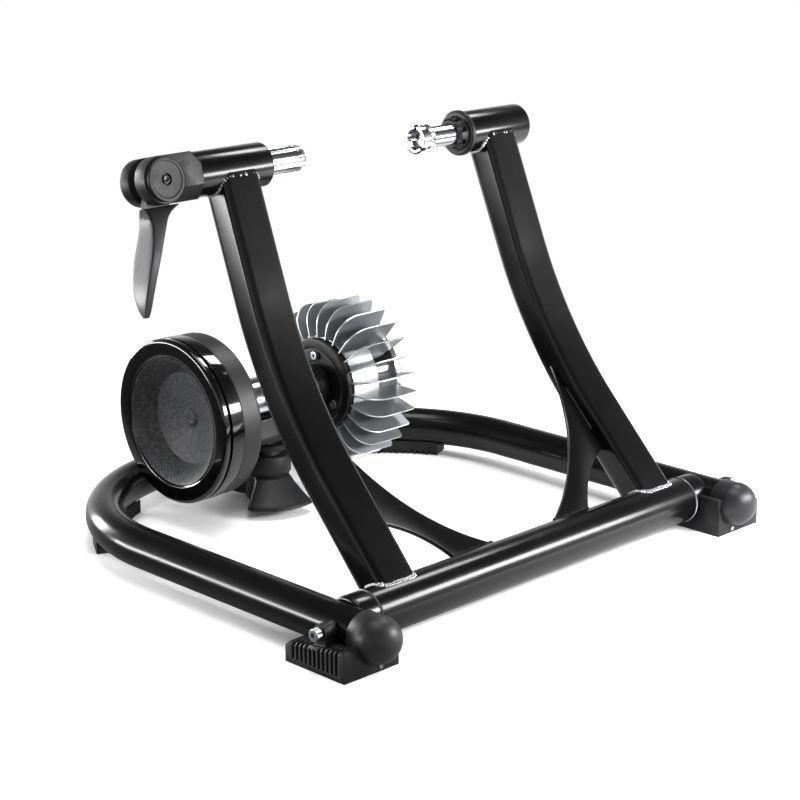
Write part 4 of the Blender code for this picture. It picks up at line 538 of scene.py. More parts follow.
# Rounded rectangle across the upright, as a loop of edges at the crossbar's axis
def uprightLoop(mesh, lean):
    width, depth = uprightSize["width"] / 2, uprightSize["depth"] / 2
    steps = uprightSize["cornerSteps"]
    points = []
    for quarter, (signX, signY) in enumerate(((1, 1), (-1, 1), (-1, -1), (1, -1))):
        corner = uprightSize["rearCorner"] if signY > 0 else uprightSize["frontCorner"]
        for step in range(steps + 1):
            angle = (quarter + step / steps) * pi / 2
            points.append(mesh.verts.new((signX * (width - corner) + corner * cos(angle),
                                          signY * (depth - corner) + corner * sin(angle), 0)))
    edges = [mesh.edges.new(pair) for pair in zip(points, points[1:] + points[:1])]
    turn = Matrix.Translation(crossbarLine) @ Matrix.Rotation(-lean, 4, "X")
    bmesh.ops.transform(mesh, matrix=turn, verts=points)
    return edges


# Moves the upright's axis from its foot to its top across the crossbar's direction.
def splay(mesh, side):
    slope = side * (uprightSize["topX"] - uprightSize["footX"]) / uprightRise
    shear = Matrix.Identity(4)
    shear[0][2] = slope
    shear[0][3] = side * uprightSize["footX"] - slope * layout["axisZ"]
    bmesh.ops.transform(mesh, matrix=shear, verts=mesh.verts)


def makeUpright(side, label):
    lower, upper = radians(uprightSize["lower"]), radians(uprightSize["upper"])
    bendZ, radius = uprightSize["bendHeight"], uprightSize["bendRadius"]
    mesh = bmesh.new()
    bendY = (bendZ - layout["axisZ"]) * tan(lower)
    edges = extrudeLoop(mesh, uprightLoop(mesh, lower), (0, bendY, bendZ - layout["axisZ"]))
    centre = (0, bendY - radius * cos(lower), bendZ + radius * sin(lower))
    edges = spinLoop(mesh, edges, centre, (1, 0, 0), lower - upper, uprightSize["bendSteps"])
    rise = layout["axleZ"] - (centre[2] - radius * sin(upper))
    extrudeLoop(mesh, edges, (0, rise * tan(upper), rise))
    closeEnds(mesh)
    splay(mesh, side)
    addPiece(f"{label}_upright_tube", mesh, blackPaint, "upright_frame", "black_paint", f"{label}_upright",
             sharp=30)


# Arc from one 2-D point to another, bulging to the left of the way there
def arcBetween(start, end, radius, steps):
    start, end = Vector(start), Vector(end)
    chord = end - start
    across = Vector((-chord.y, chord.x)).normalized()
    centre = (start + end) / 2 - across * sqrt(radius ** 2 - (chord.length / 2) ** 2)
    first = start - centre
    sweep = first.angle_signed(end - centre)
    points = [Matrix.Rotation(-sweep * step / steps, 2) @ first + centre for step in range(steps + 1)]
    return [(point.x, point.y) for point in points]


# lower and upper are heights up the upright; the bars stand on the crossbar
gussetSize = {"thickness": 5.0, "lower": 74.0, "upper": 172.0, "barOuter": 91.0, "barInner": 41.0,
              "outerCurve": 221.0, "holeCurve": 125.0, "sink": 0.6}


# A point in the gusset's plane, given across the crossbar and up the lower upright
def gussetPlane(side, x, up, out=0.0):
    lean = radians(uprightSize["lower"])
    rise = Vector((0, sin(lean), cos(lean)))
    through = Vector((0, cos(lean), -sin(lean)))
    return Vector((side * x, 0, layout["axisZ"])) + rise * up + through * out


# The upright's inner side in that plane
def gussetWall(up):
    taper = (uprightSize["footX"] - uprightSize["topX"]) / uprightRise * cos(radians(uprightSize["lower"]))
    return uprightSize["footX"] - uprightSize["width"] / 2 - up * taper


def makeGusset(side, label):
    foot = layout["crossbarRadius"] - gussetSize["sink"]
    holeTop = (gussetWall(gussetSize["lower"]) + 0.5, gussetSize["lower"])
    tip = (gussetWall(gussetSize["upper"]) + 0.5, gussetSize["upper"])
    outline = arcBetween(tip, (gussetSize["barInner"], foot), gussetSize["outerCurve"], 40)
    outline += arcBetween((gussetSize["barOuter"], foot), holeTop, gussetSize["holeCurve"], 24)
    mesh = bmesh.new()
    half = gussetSize["thickness"] / 2
    face = mesh.faces.new([mesh.verts.new(gussetPlane(side, x, up, -half)) for x, up in outline])
    extrudeFaces(mesh, [face], gussetPlane(side, 0, 0, 2 * half) - gussetPlane(side, 0, 0))
    bmesh.ops.recalc_face_normals(mesh, faces=mesh.faces)
    bevelRims(mesh, 0.7, 2)
    addPiece(f"{label}_gusset_plate", mesh, blackPaint, "upright_frame", "black_paint", f"{label}_gusset",
             sharp=30)


for side, label in ((-1, "left"), (1, "right")):
    makeUpright(side, label)
    makeGusset(side, label)
print("uprights made")

# Weld beads: overlapping ripples along the joints of the frame; length and height are shares of a ripple's radius
weldSize = {"pitch": 2.9, "radius": 2.7, "length": 0.62, "height": 0.6}


def addRipple(mesh, place, normal, way, size):
    turn = Matrix.Identity(3)
    across = normal.cross(way).normalized()
    turn.col[0] = way.normalized()
    turn.col[1] = across
    turn.col[2] = normal.normalized()
    stretch = Matrix.Diagonal((size * weldSize["length"], size, size * weldSize["height"], 1))
    bmesh.ops.create_icosphere(mesh, subdivisions=2, radius=1.0,
                               matrix=Matrix.Translation(place) @ turn.to_4x4() @ stretch)


# Lays ripples along a line of (point, normal) pairs; the bead's width wanders a little.
def layBead(mesh, line, seed):
    spent = 0.0
    step = 0
    for (here, normal), (there, _) in zip(line, line[1:]):
        way = there - here
        while spent < way.length:
            wander = 0.5 + 0.5 * sin(step * 1.7 + seed) * sin(step * 0.61 + 2 * seed)
            place = here + way.normalized() * spent
            addRipple(mesh, place, normal, way, weldSize["radius"] * (0.8 + 0.4 * wander))
            spent += weldSize["pitch"] * (0.85 + 0.3 * wander)
            step += 1
        spent -= way.length


# Where the upright's outline meets a cylinder that runs along the crossbar's direction
def seamLine(side, lean, radius, centre, upward):
    outline = bmesh.new()
    uprightLoop(outline, lean)
    splay(outline, side)
    rise = Vector((0, sin(lean), cos(lean))) * (1 if upward else -1)
    middleX = side * (uprightSize["footX"] if upward else uprightSize["topX"])
    loop = [outline.verts[:][0]]
    edge = loop[0].link_edges[0]
    while len(loop) < len(outline.verts):
        following = edge.other_vert(loop[-1])
        loop.append(following)
        edge = [item for item in following.link_edges if item is not edge][0]
    corners = [vert.co.copy() for vert in loop + loop[:1]]
    outline.free()
    points = []
    for here, there in zip(corners, corners[1:]):
        count = max(1, round((there - here).length / 2))
        points += [here.lerp(there, step / count) for step in range(count)]
    line = []
    for point in points + points[:1]:
        offset = point - Vector((side * uprightSize["footX"], 0, layout["axisZ"]))
        across = Vector((0, offset.y, offset.z))
        along = sqrt(max(radius ** 2 - across.length ** 2, 0.0))
        place = Vector((middleX + offset.x, centre.y, centre.z)) + across + rise * (along + 0.2)
        outward = (place - Vector((place.x, centre.y, centre.z))).normalized()
        sideways = Vector((offset.x, 0, 0)) + across
        line.append((place, (outward + sideways.normalized()).normalized()))
    return line


# The beads on a gusset. Up the upright, from is where it starts above the gusset's lower end and short is how much
# shorter than the gusset it is. Along the crossbar it starts at footInset and is footLength long.
gussetBeads = {"from": 22.0, "short": 50.0, "points": 30, "footInset": 2.0, "footLength": 47.0, "footPoints": 13}


def makeWelds(side, label):
    for joint, lean, radius, centre, upward, seed in (
            ("foot", uprightSize["lower"], layout["crossbarRadius"], crossbarLine, True, 1.0),
            ("barrel", uprightSize["upper"], layout["barrelRadius"], axle, False, 4.0)):
        mesh = bmesh.new()
        layBead(mesh, seamLine(side, radians(lean), radius, centre, upward), seed + side)
        # The foot and barrel beads take the weld material with its painted glints
        addPiece(f"{label}_{joint}_weld", mesh, weldPaintedGlints, "upright_frame", "black_paint")
    mesh = bmesh.new()
    surface = -gussetSize["thickness"] / 2
    corner = gussetPlane(side, 0, 0)
    last = gussetBeads["points"] - 1
    line = []
    for step in range(gussetBeads["points"]):
        up = (gussetSize["lower"] + gussetBeads["from"]
              + (gussetSize["upper"] - gussetSize["lower"] - gussetBeads["short"]) * step / last)
        line.append((gussetPlane(side, gussetWall(up), up, surface),
                     (gussetPlane(side, -1, 0, -1) - corner).normalized()))
    layBead(mesh, line, 2.0)
    foot = layout["crossbarRadius"] + 0.4
    first, last = gussetSize["barInner"] + gussetBeads["footInset"], gussetBeads["footPoints"] - 1
    line = [(gussetPlane(side, first + gussetBeads["footLength"] * t / last, foot, surface),
             (gussetPlane(side, 0, 1, -1) - corner).normalized()) for t in range(gussetBeads["footPoints"])]
    layBead(mesh, line, 3.0)
    addPiece(f"{label}_gusset_weld", mesh, blackPaint, "upright_frame", "black_paint")


makeWelds(-1, "left")
makeWelds(1, "right")
print("welds made")

# Left clamp

leftBarrel = {"inner": -128.5, "outer": -210.5, "edge": 2.6}
bore, radius = layout["barrelBore"], layout["barrelRadius"]
mesh = turnedRing([(-180, bore), (leftBarrel["outer"], bore), (leftBarrel["outer"], radius, 0.6),
                   (leftBarrel["inner"], radius, leftBarrel["edge"]), (leftBarrel["inner"], bore, 0.4),
                   (-180, bore)], axle)
addPiece("left_barrel_tube", mesh, blackPaint, "upright_frame", "black_paint", "left_barrel")

plungerSize = {"radius": 12.7, "tip": -83.3, "tail": -224.1, "fluteStart": -144.5, "flutes": 10,
               "fluteWidth": 0.14, "fluteDepth": 0.9}


def makePlunger():
    tip, tail, radius = plungerSize["tip"], plungerSize["tail"], plungerSize["radius"]
    profile = [(tail, 0), (tail, radius), (-145, radius), (-144, radius),
               (tip - 8.2, radius), (tip - 8.0, radius - 0.5), (tip - 7.2, radius - 0.5), (tip - 7.0, radius),
               (tip - 1.6, radius), (tip - 0.5, radius - 0.5), (tip, radius - 1.6), (tip, 7.4), (tip - 0.6, 6.9),
               (tip - 7, 1.5), (tip - 7, 0)]
    mesh = lathe(profile, steps=240)
    for vert in mesh.verts:
        spread = vert.co.yz.length
        if vert.co.x < plungerSize["fluteStart"] or spread < radius - 1.7:
            continue
        turn = atan2(vert.co.z, vert.co.y) / (2 * pi) * plungerSize["flutes"] - 0.5
        share = abs(turn - round(turn)) / plungerSize["fluteWidth"]
        if share < 1:
            depth = plungerSize["fluteDepth"] * sqrt(1 - share ** 2)
            vert.co.yz = vert.co.yz * (1 - depth / spread)
    bmesh.ops.translate(mesh, vec=axle, verts=mesh.verts)
    addPiece("fluted_plunger", mesh, chrome, "clamp_plunger_slide", "chrome", "clamp_plunger", sharp=28)


makePlunger()

# The cam housing is turned on the barrel, so its cam axis points down to the back.
camSize = {"x": -250.5, "tilt": 13.0, "radius": 20.8, "flat": 20.9, "neck": 39.4, "front": -17.5, "rear": 18.8,
           "bore": 13.0, "slotY": 1.3, "slotWidth": 9.2, "cam": 15.5, "throw": 8.5, "pin": 4.0,
           "disc": 19.2, "discFront": -21.3, "play": 0.3}


def tilted(mesh):
    turn = Matrix.Translation(axle) @ Matrix.Rotation(radians(-camSize["tilt"]), 4, "X")
    bmesh.ops.transform(mesh, matrix=turn, verts=mesh.verts)
    return mesh


def camRod(front, back, radius, shift=0.0, sides=72):
    x = camSize["x"] + shift
    return rod((x, front, 0), (x, back, 0), radius, sides)


def camLathe(profile, soft, steps=96):
    return lathe(rounded(profile, soft), (camSize["x"], 0, 0), "Y", steps)


def makeCamHousing():
    x, halfSlot = camSize["x"], camSize["slotWidth"] / 2
    neck = bmesh.new()
    turn = Matrix.Translation((x, 0, 0)) @ Matrix.Rotation(pi / 2, 4, "Y") @ Matrix.Rotation(pi / 8, 4, "Z")
    bmesh.ops.create_circle(neck, segments=8, radius=camSize["flat"] / cos(pi / 8), cap_ends=True, matrix=turn)
    extrudeFaces(neck, neck.faces[:], (camSize["neck"], 0, 0))
    bmesh.ops.recalc_face_normals(neck, faces=neck.faces)
    drum = camLathe([(camSize["front"], 0), (camSize["front"], camSize["radius"], 1.0),
                     (camSize["rear"], camSize["radius"], 2.0), (camSize["rear"], 0)], 0.5)
    slot = box((x - 40, camSize["slotY"] - halfSlot, -40), (x + 25, camSize["slotY"] + halfSlot, 40))
    bore = rod((x + 16, 0, 0), (-200, 0, 0), camSize["bore"], 72)
    pocket = camRod(-26.5, camSize["front"], camSize["disc"] + 0.25, sides=96)
    pin = camRod(-21, 22, camSize["pin"] + camSize["play"])
    mesh = finished(neck, tools=[("UNION", drum), ("DIFFERENCE", slot), ("DIFFERENCE", bore),
                                 ("DIFFERENCE", pocket), ("DIFFERENCE", pin)])
    addPiece("clamp_cam_housing", tilted(softened(mesh, 0.5, 2, 25)), blackNylon, "upright_frame",
             "black_plastic", "cam_housing", sharp=40)
    front, disc, pin = camSize["discFront"], camSize["disc"], camSize["pin"]
    mesh = camLathe([(front + 0.5, 0), (front + 0.5, 15.6, 0.4), (front, 16.4, 0.3), (front, disc, 1.0),
                     (front + 3.5, disc, 0.2), (front + 3.5, pin), (17.8, pin), (17.8, 0)], 0.3)
    mesh = carved(mesh, camRod(front - 1, front + 2.6, 5.4))
    addPiece("cam_pivot_disc", tilted(mesh), blackNylon, "upright_frame", "black_plastic", "cam_pivot_bolt")
    head = camLathe([(front + 2.7, 0), (front + 2.7, 3.6), (front + 1.1, 3.9), (front + 0.7, 3.4, 0.3),
                     (front + 0.7, 2.2), (front + 1.9, 2.0), (front + 1.9, 0)], 0.2, 48)
    addPiece("cam_bolt_socket", tilted(head), blackPaint, "upright_frame", "black_plastic")


makeCamHousing()

# Lever sections below the cam axis: depth, left side, right side, half width
leverSections = [
    (21.8, -15.2, 24.5, 5.0), (24.0, -14.8, 19.0, 6.3), (29.0, -14.2, 8.0, 8.6), (37.0, -14.6, 2.4, 10.9),
    (49.5, -18.4, -5.0, 13.1), (63.0, -23.6, -11.9, 14.2), (76.0, -27.9, -17.5, 13.2),
    (88.0, -31.2, -22.0, 11.4), (99.0, -33.0, -24.6, 8.2), (106.0, -33.3, -25.6, 5.1),
    (111.0, -32.6, -26.6, 2.6), (113.0, -31.6, -27.4, 1.4),
]
# The painted sheen covers the lever's left face from litFaceTop below the barrel's axis downwards
leverSize = {"litFaceTop": 30.0, "webWidth": 24.0, "webTop": -4.0, "webBottom": -29.0, "endCrease": 0.8}


def makeLever():
    mesh = bmesh.new()
    bmesh.ops.create_grid(mesh, x_segments=1, y_segments=1, size=0.5)
    bmesh.ops.bevel(mesh, geom=mesh.verts[:], offset=0.12, segments=2, profile=0.5,
                    affect="VERTICES", material=-1)
    bmesh.ops.delete(mesh, geom=mesh.faces[:], context="FACES_ONLY")
    edges, ring = mesh.edges[:], mesh.verts[:]
    unit = [vert.co.copy() for vert in ring]  # the section at a width and length of one
    for index, (drop, left, right, half) in enumerate(leverSections):
        if index:
            grown = bmesh.ops.extrude_edge_only(mesh, edges=edges)["geom"]
            edges, fresh = edgesIn(grown), vertsIn(grown)
            partners = [[e.other_vert(vert) for e in vert.link_edges if e.other_vert(vert) in ring][0]
                        for vert in fresh]
            unit = [unit[ring.index(old)] for old in partners]
            ring = fresh
        for vert, corner in zip(ring, unit):
            vert.co = Vector((camSize["x"] + (left + right) / 2 + corner.x * (right - left),
                              camSize["slotY"] + corner.y * 2 * half, -drop))
    closeEnds(mesh)
    bmesh.ops.recalc_face_normals(mesh, faces=mesh.faces)
    crease = mesh.edges.layers.float.new("crease_edge")
    for edge in mesh.edges:
        if any(len(face.verts) > 4 for face in edge.link_faces):
            edge[crease] = leverSize["endCrease"]
    mesh = finished(mesh, ("SUBSURF", {"levels": 2, "render_levels": 2}))
    halfSlot = camSize["slotWidth"] / 2 - camSize["play"]
    front, back = camSize["slotY"] - halfSlot, camSize["slotY"] + halfSlot
    cam = camRod(front, back, camSize["cam"], camSize["throw"])
    web = box((camSize["x"] - leverSize["webWidth"] / 2, front * 0.98, leverSize["webBottom"]),
              (camSize["x"] + leverSize["webWidth"] / 2, back * 0.98, leverSize["webTop"]))
    bore = camRod(front - 5, back + 5, camSize["pin"] + camSize["play"])
    mesh = tilted(finished(mesh, tools=[("UNION", cam), ("UNION", web), ("DIFFERENCE", bore)]))
    litFaceTop = (layout["axleZ"] - leverSize["litFaceTop"]) * mm

    # Faces turned to the left below that height get the grey painted sheen
    def litSideFace(face):
        return 1 if face.normal.x < -0.75 and face.calc_center_median().z < litFaceTop else 0
    addPiece("cam_lever", mesh, [blackNylon, leverPaintedSheen], "clamp_lever", "black_plastic", "clamp_lever_arm",
             pick=litSideFace)


makeLever()
print("left clamp made")

# Right clamp

rightBarrel = {"inner": 130.5, "outer": 211.5, "boreEnd": 208.7, "edge": 3.2}
bore, radius = layout["barrelBore"], layout["barrelRadius"]
profile = rounded([(rightBarrel["outer"], 0), (rightBarrel["outer"], radius, rightBarrel["edge"]),
                   (rightBarrel["inner"], radius, 0.6), (rightBarrel["inner"], bore, 0.3),
                   (rightBarrel["boreEnd"], bore), (rightBarrel["boreEnd"], 0)], 0.3)
addPiece("right_barrel_tube", lathe(profile, axle), blackPaint, "upright_frame", "black_paint", "right_barrel")

# The thread starts behind the cup; neck is the part of the rod inside the cup.
rodSize = {"tip": 76.3, "neck": 6.0, "start": 84.3, "threadEnd": 118.0, "end": 184.0, "radius": 10.0,
           "pitch": 1.5, "depth": 0.55, "threadRows": 150}


def makeThreadedRod():
    start, threadEnd, end, radius = rodSize["start"], rodSize["threadEnd"], rodSize["end"], rodSize["radius"]
    rows = rodSize["threadRows"]
    places = [start + 0.6 + (threadEnd - start) * i / rows for i in range(rows + 1)]
    profile = [(rodSize["tip"], 0), (rodSize["tip"], rodSize["neck"]), (start, rodSize["neck"]), (start, 9.4)]
    profile += [(x, radius) for x in places] + [(end - 1, radius), (end, radius - 1), (end, 0)]
    mesh = lathe(profile, steps=64)
    for vert in mesh.verts:
        spread = vert.co.yz.length
        if spread > radius - 0.3 and start < vert.co.x < threadEnd:
            turn = vert.co.x / rodSize["pitch"] + atan2(vert.co.z, vert.co.y) / (2 * pi)
            groove = abs(turn - round(turn)) * 2
            vert.co.yz = vert.co.yz * (1 - rodSize["depth"] * (1 - groove) / spread)
    bmesh.ops.translate(mesh, vec=axle, verts=mesh.verts)
    addPiece("cup_thread", mesh, chrome, "axle_cup_slide", "chrome", "threaded_rod", sharp=60)


makeThreadedRod()


# Cuts evenly turned notches into a mesh built around the X axis.
def notched(mesh, count, phase, low, high):
    turns = [Matrix.Rotation(2 * pi * (index + phase) / count, 4, "X") for index in range(count)]
    return carved(mesh, joined(*[box(low, high, turn) for turn in turns]))


cupSize = {"tip": 67.0, "length": 17.0, "radius": 14.0, "mouth": 9.0, "notches": 3, "notchWidth": 6.4,
           "notchDepth": 4.5, "knurls": 54, "knurlDepth": 0.55}


def makeAxleCup():
    tip, radius, mouth = cupSize["tip"], cupSize["radius"], cupSize["mouth"]
    right = tip + cupSize["length"]
    mesh = turnedRing([(tip + 4, mouth), (tip, mouth + 0.6, 0.5), (tip, radius, 1.0), (right - 7.5, radius, 0.4),
                       (right - 7.0, radius - 1.6, 0.3), (right - 6.0, radius - 1.6, 0.3),
                       (right - 5.5, radius - 0.5, 0.3), (right - 0.7, radius - 0.5, 0.3),
                       (right, radius - 1.8, 0.3), (right, 6.3), (tip + 9, 6.3), (tip + 9, 7.0, 0.3),
                       (tip + 4, mouth)], soft=0.2, steps=cupSize["knurls"] * 2)

    def onKnurl(co):
        return (co.yz.length > radius - 1.2 and right - 5.6 < co.x < right - 0.6
                and round(atan2(co.z, co.y) / pi * cupSize["knurls"]) % 2)
    pressIn(mesh, onKnurl, cupSize["knurlDepth"])
    half = cupSize["notchWidth"] / 2
    mesh = notched(mesh, cupSize["notches"], 0, (tip - 1, -half, 6), (tip + cupSize["notchDepth"], half, radius + 1))
    bmesh.ops.translate(mesh, vec=axle, verts=mesh.verts)
    addPiece("notched_axle_cup", mesh, chrome, "axle_cup_slide", "chrome", "axle_cup", sharp=40)


makeAxleCup()

nutSize = {"left": 114.6, "right": 130.2, "bore": 10.3, "radius": 17.0, "flange": 22.0, "notches": 8,
           "notchWidth": 5.2, "notchLength": 8.5}


def makeLockNut():
    left, right, bore, flange = nutSize["left"], nutSize["right"], nutSize["bore"], nutSize["flange"]
    mesh = turnedRing([(left + 7, bore), (left, bore, 0.6), (left, 13.4, 0.8), (left + 3, 15.4, 0.6),
                       (right - 5.5, nutSize["radius"], 0.3), (right - 5.5, 20.4, 0.6), (right - 4.4, 20.9, 0.3),
                       (right - 4.2, 20.4, 0.2), (right - 3.9, flange, 0.6), (right, flange, 0.6), (right, bore),
                       (left + 7, bore)])
    half = nutSize["notchWidth"] / 2
    mesh = softened(notched(mesh, nutSize["notches"], 0.5, (left - 1, -half, 13),
                            (left + nutSize["notchLength"], half, 21)), 0.35)
    bmesh.ops.translate(mesh, vec=axle, verts=mesh.verts)
    addPiece("notched_lock_nut", mesh, blackNylon, "lock_nut_spin", "black_plastic", "lock_nut", sharp=40)


makeLockNut()
print("right clamp made")

# Flywheel side of the resistance unit

flywheelSize = {"left": -135.9, "right": -111.4, "radius": 81.2, "dish": 64.0, "floor": 47.0, "depth": 21.5,
                "cone": 6.0, "groove": 3.4}
dishFloor = flywheelSize["left"] + flywheelSize["depth"]
dishMiddle = dishFloor + flywheelSize["cone"]


def makeFlywheel():
    face, right, radius, dish = [flywheelSize[name] for name in ("left", "right", "radius", "dish")]
    groove = radius - flywheelSize["groove"]
    bore = layout["shaftBore"]
    mesh = turnedRing([(right, 70), (right, 50, 2.0), (dishMiddle + 3, 24, 1.0), (dishMiddle + 3, bore),
                       (dishMiddle, bore), (dishMiddle, 12, 0.5), (dishFloor, flywheelSize["floor"], 0.5),
                       (face + 1.6, dish - 0.2, 0.8), (face + 1.0, dish + 0.6, 0.5), (face + 0.6, dish + 1.2, 0.5),
                       (face, dish + 4.0, 1.2), (face, radius - 2.4, 1.6), (face + 2.0, radius, 1.4),
                       (face + 7.0, radius, 0.5), (face + 7.5, groove, 0.3), (face + 9.5, groove, 0.3),
                       (face + 10, radius, 0.5), (right, radius, 1.2), (right, 70)], roller, steps=160)
    addPiece("enamelled_flywheel", mesh, enamel, "rotor", "flywheel_enamel", "flywheel", sharp=40)


makeFlywheel()

# clear is the gap between the liner and the dish; wallRadius and wallStretch lay the weave on the slanting wall
linerSize = {"clear": 0.3, "flat": 46.0, "wallRadius": 55.0, "wallStretch": 1.4}


def makeMeshLiner():
    face = flywheelSize["left"]
    floor = dishFloor - linerSize["clear"]
    deep = floor + flywheelSize["cone"]
    outer = rounded([(deep - 2.6, 0.01), (deep - 2.6, 3.5, 0.8), (deep - 3.2, 5.0, 0.6), (deep - 3.2, 7.0, 0.8),
                     (deep - 0.9, 10.0, 1.2), (deep - 0.9, 12.0, 1.0), (floor - 0.9, 45.6, 1.6),
                     (face + 2.4, 61.4, 0.3), (face + 1.6, 62.5)], 0.5)
    outer[0] = (deep - 2.6, 0)
    inner = [(face + 2.2, 62.9), (floor, 46.3), (deep, 12), (deep - 0.2, 8), (deep - 0.2, 0)]
    mesh = lathe(outer + inner, steps=160)
    layer = mesh.loops.layers.uv.new("weave")
    for meshFace in mesh.faces:
        middle = meshFace.calc_center_median()
        flat = middle.yz.length < linerSize["flat"]
        base = atan2(middle.z, middle.y)
        for loop in meshFace.loops:
            co = loop.vert.co
            if flat:
                loop[layer].uv = (co.y * mm, co.z * mm)
            else:
                turn = atan2(co.z, co.y)
                turn += 2 * pi * round((base - turn) / (2 * pi))
                loop[layer].uv = (turn * linerSize["wallRadius"] * mm,
                                  (co.x - face) * linerSize["wallStretch"] * mm)
    bmesh.ops.translate(mesh, vec=roller, verts=mesh.verts)
    addPiece("woven_mesh_dish", mesh, wireCloth, "rotor", "woven_mesh", "flywheel_mesh_liner", sharp=40)


makeMeshLiner()

shaftSize = {"radius": 8.0, "right": 102.0, "clear": 0.3}
shaftLeft = dishMiddle + shaftSize["clear"]
profile = rounded([(shaftLeft, 0), (shaftLeft, shaftSize["radius"], 1.0),
                   (shaftSize["right"], shaftSize["radius"], 0.6), (shaftSize["right"], 0)], 0.3)
addPiece("turned_shaft", lathe(profile, roller), zincPlate, "rotor", "zinc_plate", "drive_shaft")

coverSize = {"left": -110.8, "right": -86.6, "radius": 80.3, "rim": 77.7, "shoulder": 6.5, "hole": 20.3,
             "wall": 2.6}
left, right, rim, hole = [coverSize[name] for name in ("left", "right", "rim", "hole")]
mesh = turnedRing([(left + 4, rim), (left, rim, 0.3), (left, coverSize["radius"], 0.6),
                   (right, coverSize["radius"], coverSize["shoulder"]), (right, hole, 0.6),
                   (right - coverSize["wall"], hole, 0.3), (right - coverSize["wall"], 74, 4.0), (left + 4, rim)],
                  roller, softSteps=8, steps=160)
addPiece("flywheel_cover", mesh, coverPlastic, "resistance_unit", "black_plastic", "flywheel_shroud", sharp=40)

# Bearing housings and roller: distance from the middle and radius, with the corner's radius where it isn't 0.2
carriers = {
    "left": [(-75, 8.3), (-81.2, 8.3), (-81.2, 16.3), (-92.2, 16.3), (-92.2, 20.0, 0.8), (-86.3, 20.0),
             (-86.3, 25.6, 1.2), (-66.5, 25.6, 1.2), (-66.5, 8.3), (-75, 8.3)],
    "right": [(45, 22.0), (42.5, 22.0, 0.8), (42.5, 16.3), (54.1, 16.3), (54.1, 8.3), (55.4, 8.3), (55.4, 22.0, 0.8),
              (45, 22.0)],
}
for label, profile in carriers.items():
    addPiece(f"{label}_bearing_housing", turnedRing(profile, roller, 0.2), satinPaint,
             "resistance_unit", "black_paint", f"{label}_bearing_carrier")

rollerProfile = [(0, 8.3), (-57, 8.3), (-57, 23.5, 1.6), (33, 23.5, 1.6), (33, 8.3), (0, 8.3)]
addPiece("turned_drive_roller", turnedRing(rollerProfile, roller, 0.2), chrome, "rotor", "chrome", "drive_roller")
addPiece("pressed_yoke", softened(nodeCopy("unit_yoke"), 0.6), satinPaint, "resistance_unit", "black_paint",
         "unit_yoke")
print("flywheel side made")

# Fluid drum

endPlate = {"left": 55.7, "right": 61.7, "radius": 48.3, "seat": 13.3}
left, right, radius, seat = [endPlate[name] for name in ("left", "right", "radius", "seat")]
mesh = turnedRing([(right, seat), (right - 4.3, seat), (right - 4.3, layout["shaftBore"]),
                   (left, layout["shaftBore"], 0.4), (left, 17.0, 0.4), (left + 0.8, 18.0, 0.3),
                   (left + 0.8, 24.0, 0.3), (left, 25.0, 0.4), (left, 36.5, 0.6), (left + 1.2, 37.4, 0.4),
                   (left + 1.2, 38.6, 0.4), (left, 39.5, 0.6), (left, radius, 2.0), (right, radius, 0.3),
                   (right, seat)], roller, steps=120)
addPiece("drum_front_plate", mesh, satinPaint, "resistance_unit", "black_paint", "drum_end_plate", sharp=30)

# The drum's screws: circle is the radius on which they stand, first the angle in degrees of the first one
plateScrews = [
    {"piece": "front_plate_screw", "node": "end_plate_screw", "x": left - 3.9, "circle": 31.0, "first": 90,
     "way": 1, "radius": 4.4, "length": 3.6, "shank": 2.3, "reach": 8.3, "socket": 2.0, "knurls": 24},
    {"piece": "rear_plate_screw", "node": "rear_cover_screw", "x": 132.6, "circle": 46.0, "first": 163,
     "way": -1, "radius": 3.4, "length": 3.0, "shank": 2.3, "reach": 8.0, "socket": 1.6, "knurls": 24},
]
for index in range(3):
    for size in plateScrews:
        angle = radians(size["first"] + 120 * index)
        place = roller + Vector((size["x"], size["circle"] * cos(angle), size["circle"] * sin(angle)))
        addPiece(f"{size['piece']}_{index + 1}", socketScrew(place, size["way"], size, size["reach"]), zincPlate,
                 "resistance_unit", "zinc_plate", f"{size['node']}_{index + 1}")

drumSize = {"left": 62.0, "right": 122.0, "radius": 50.0, "bore": 46.5, "bandLeft": 97.0, "bandHeight": 0.7}
finSize = {"count": 27, "phase": 0.91, "thickness": 1.4, "left": 58.0, "right": 119.3, "radius": 83.4,
           "leadCorner": 22.0, "trailCorner": 3.5}


# The corner of a fin: a quarter turn clockwise about a centre, from a starting angle
def finCorner(x, r, radius, start, steps):
    angles = [start - pi / 2 * step / steps for step in range(steps + 1)]
    return [(x + radius * cos(angle), r + radius * sin(angle)) for angle in angles]


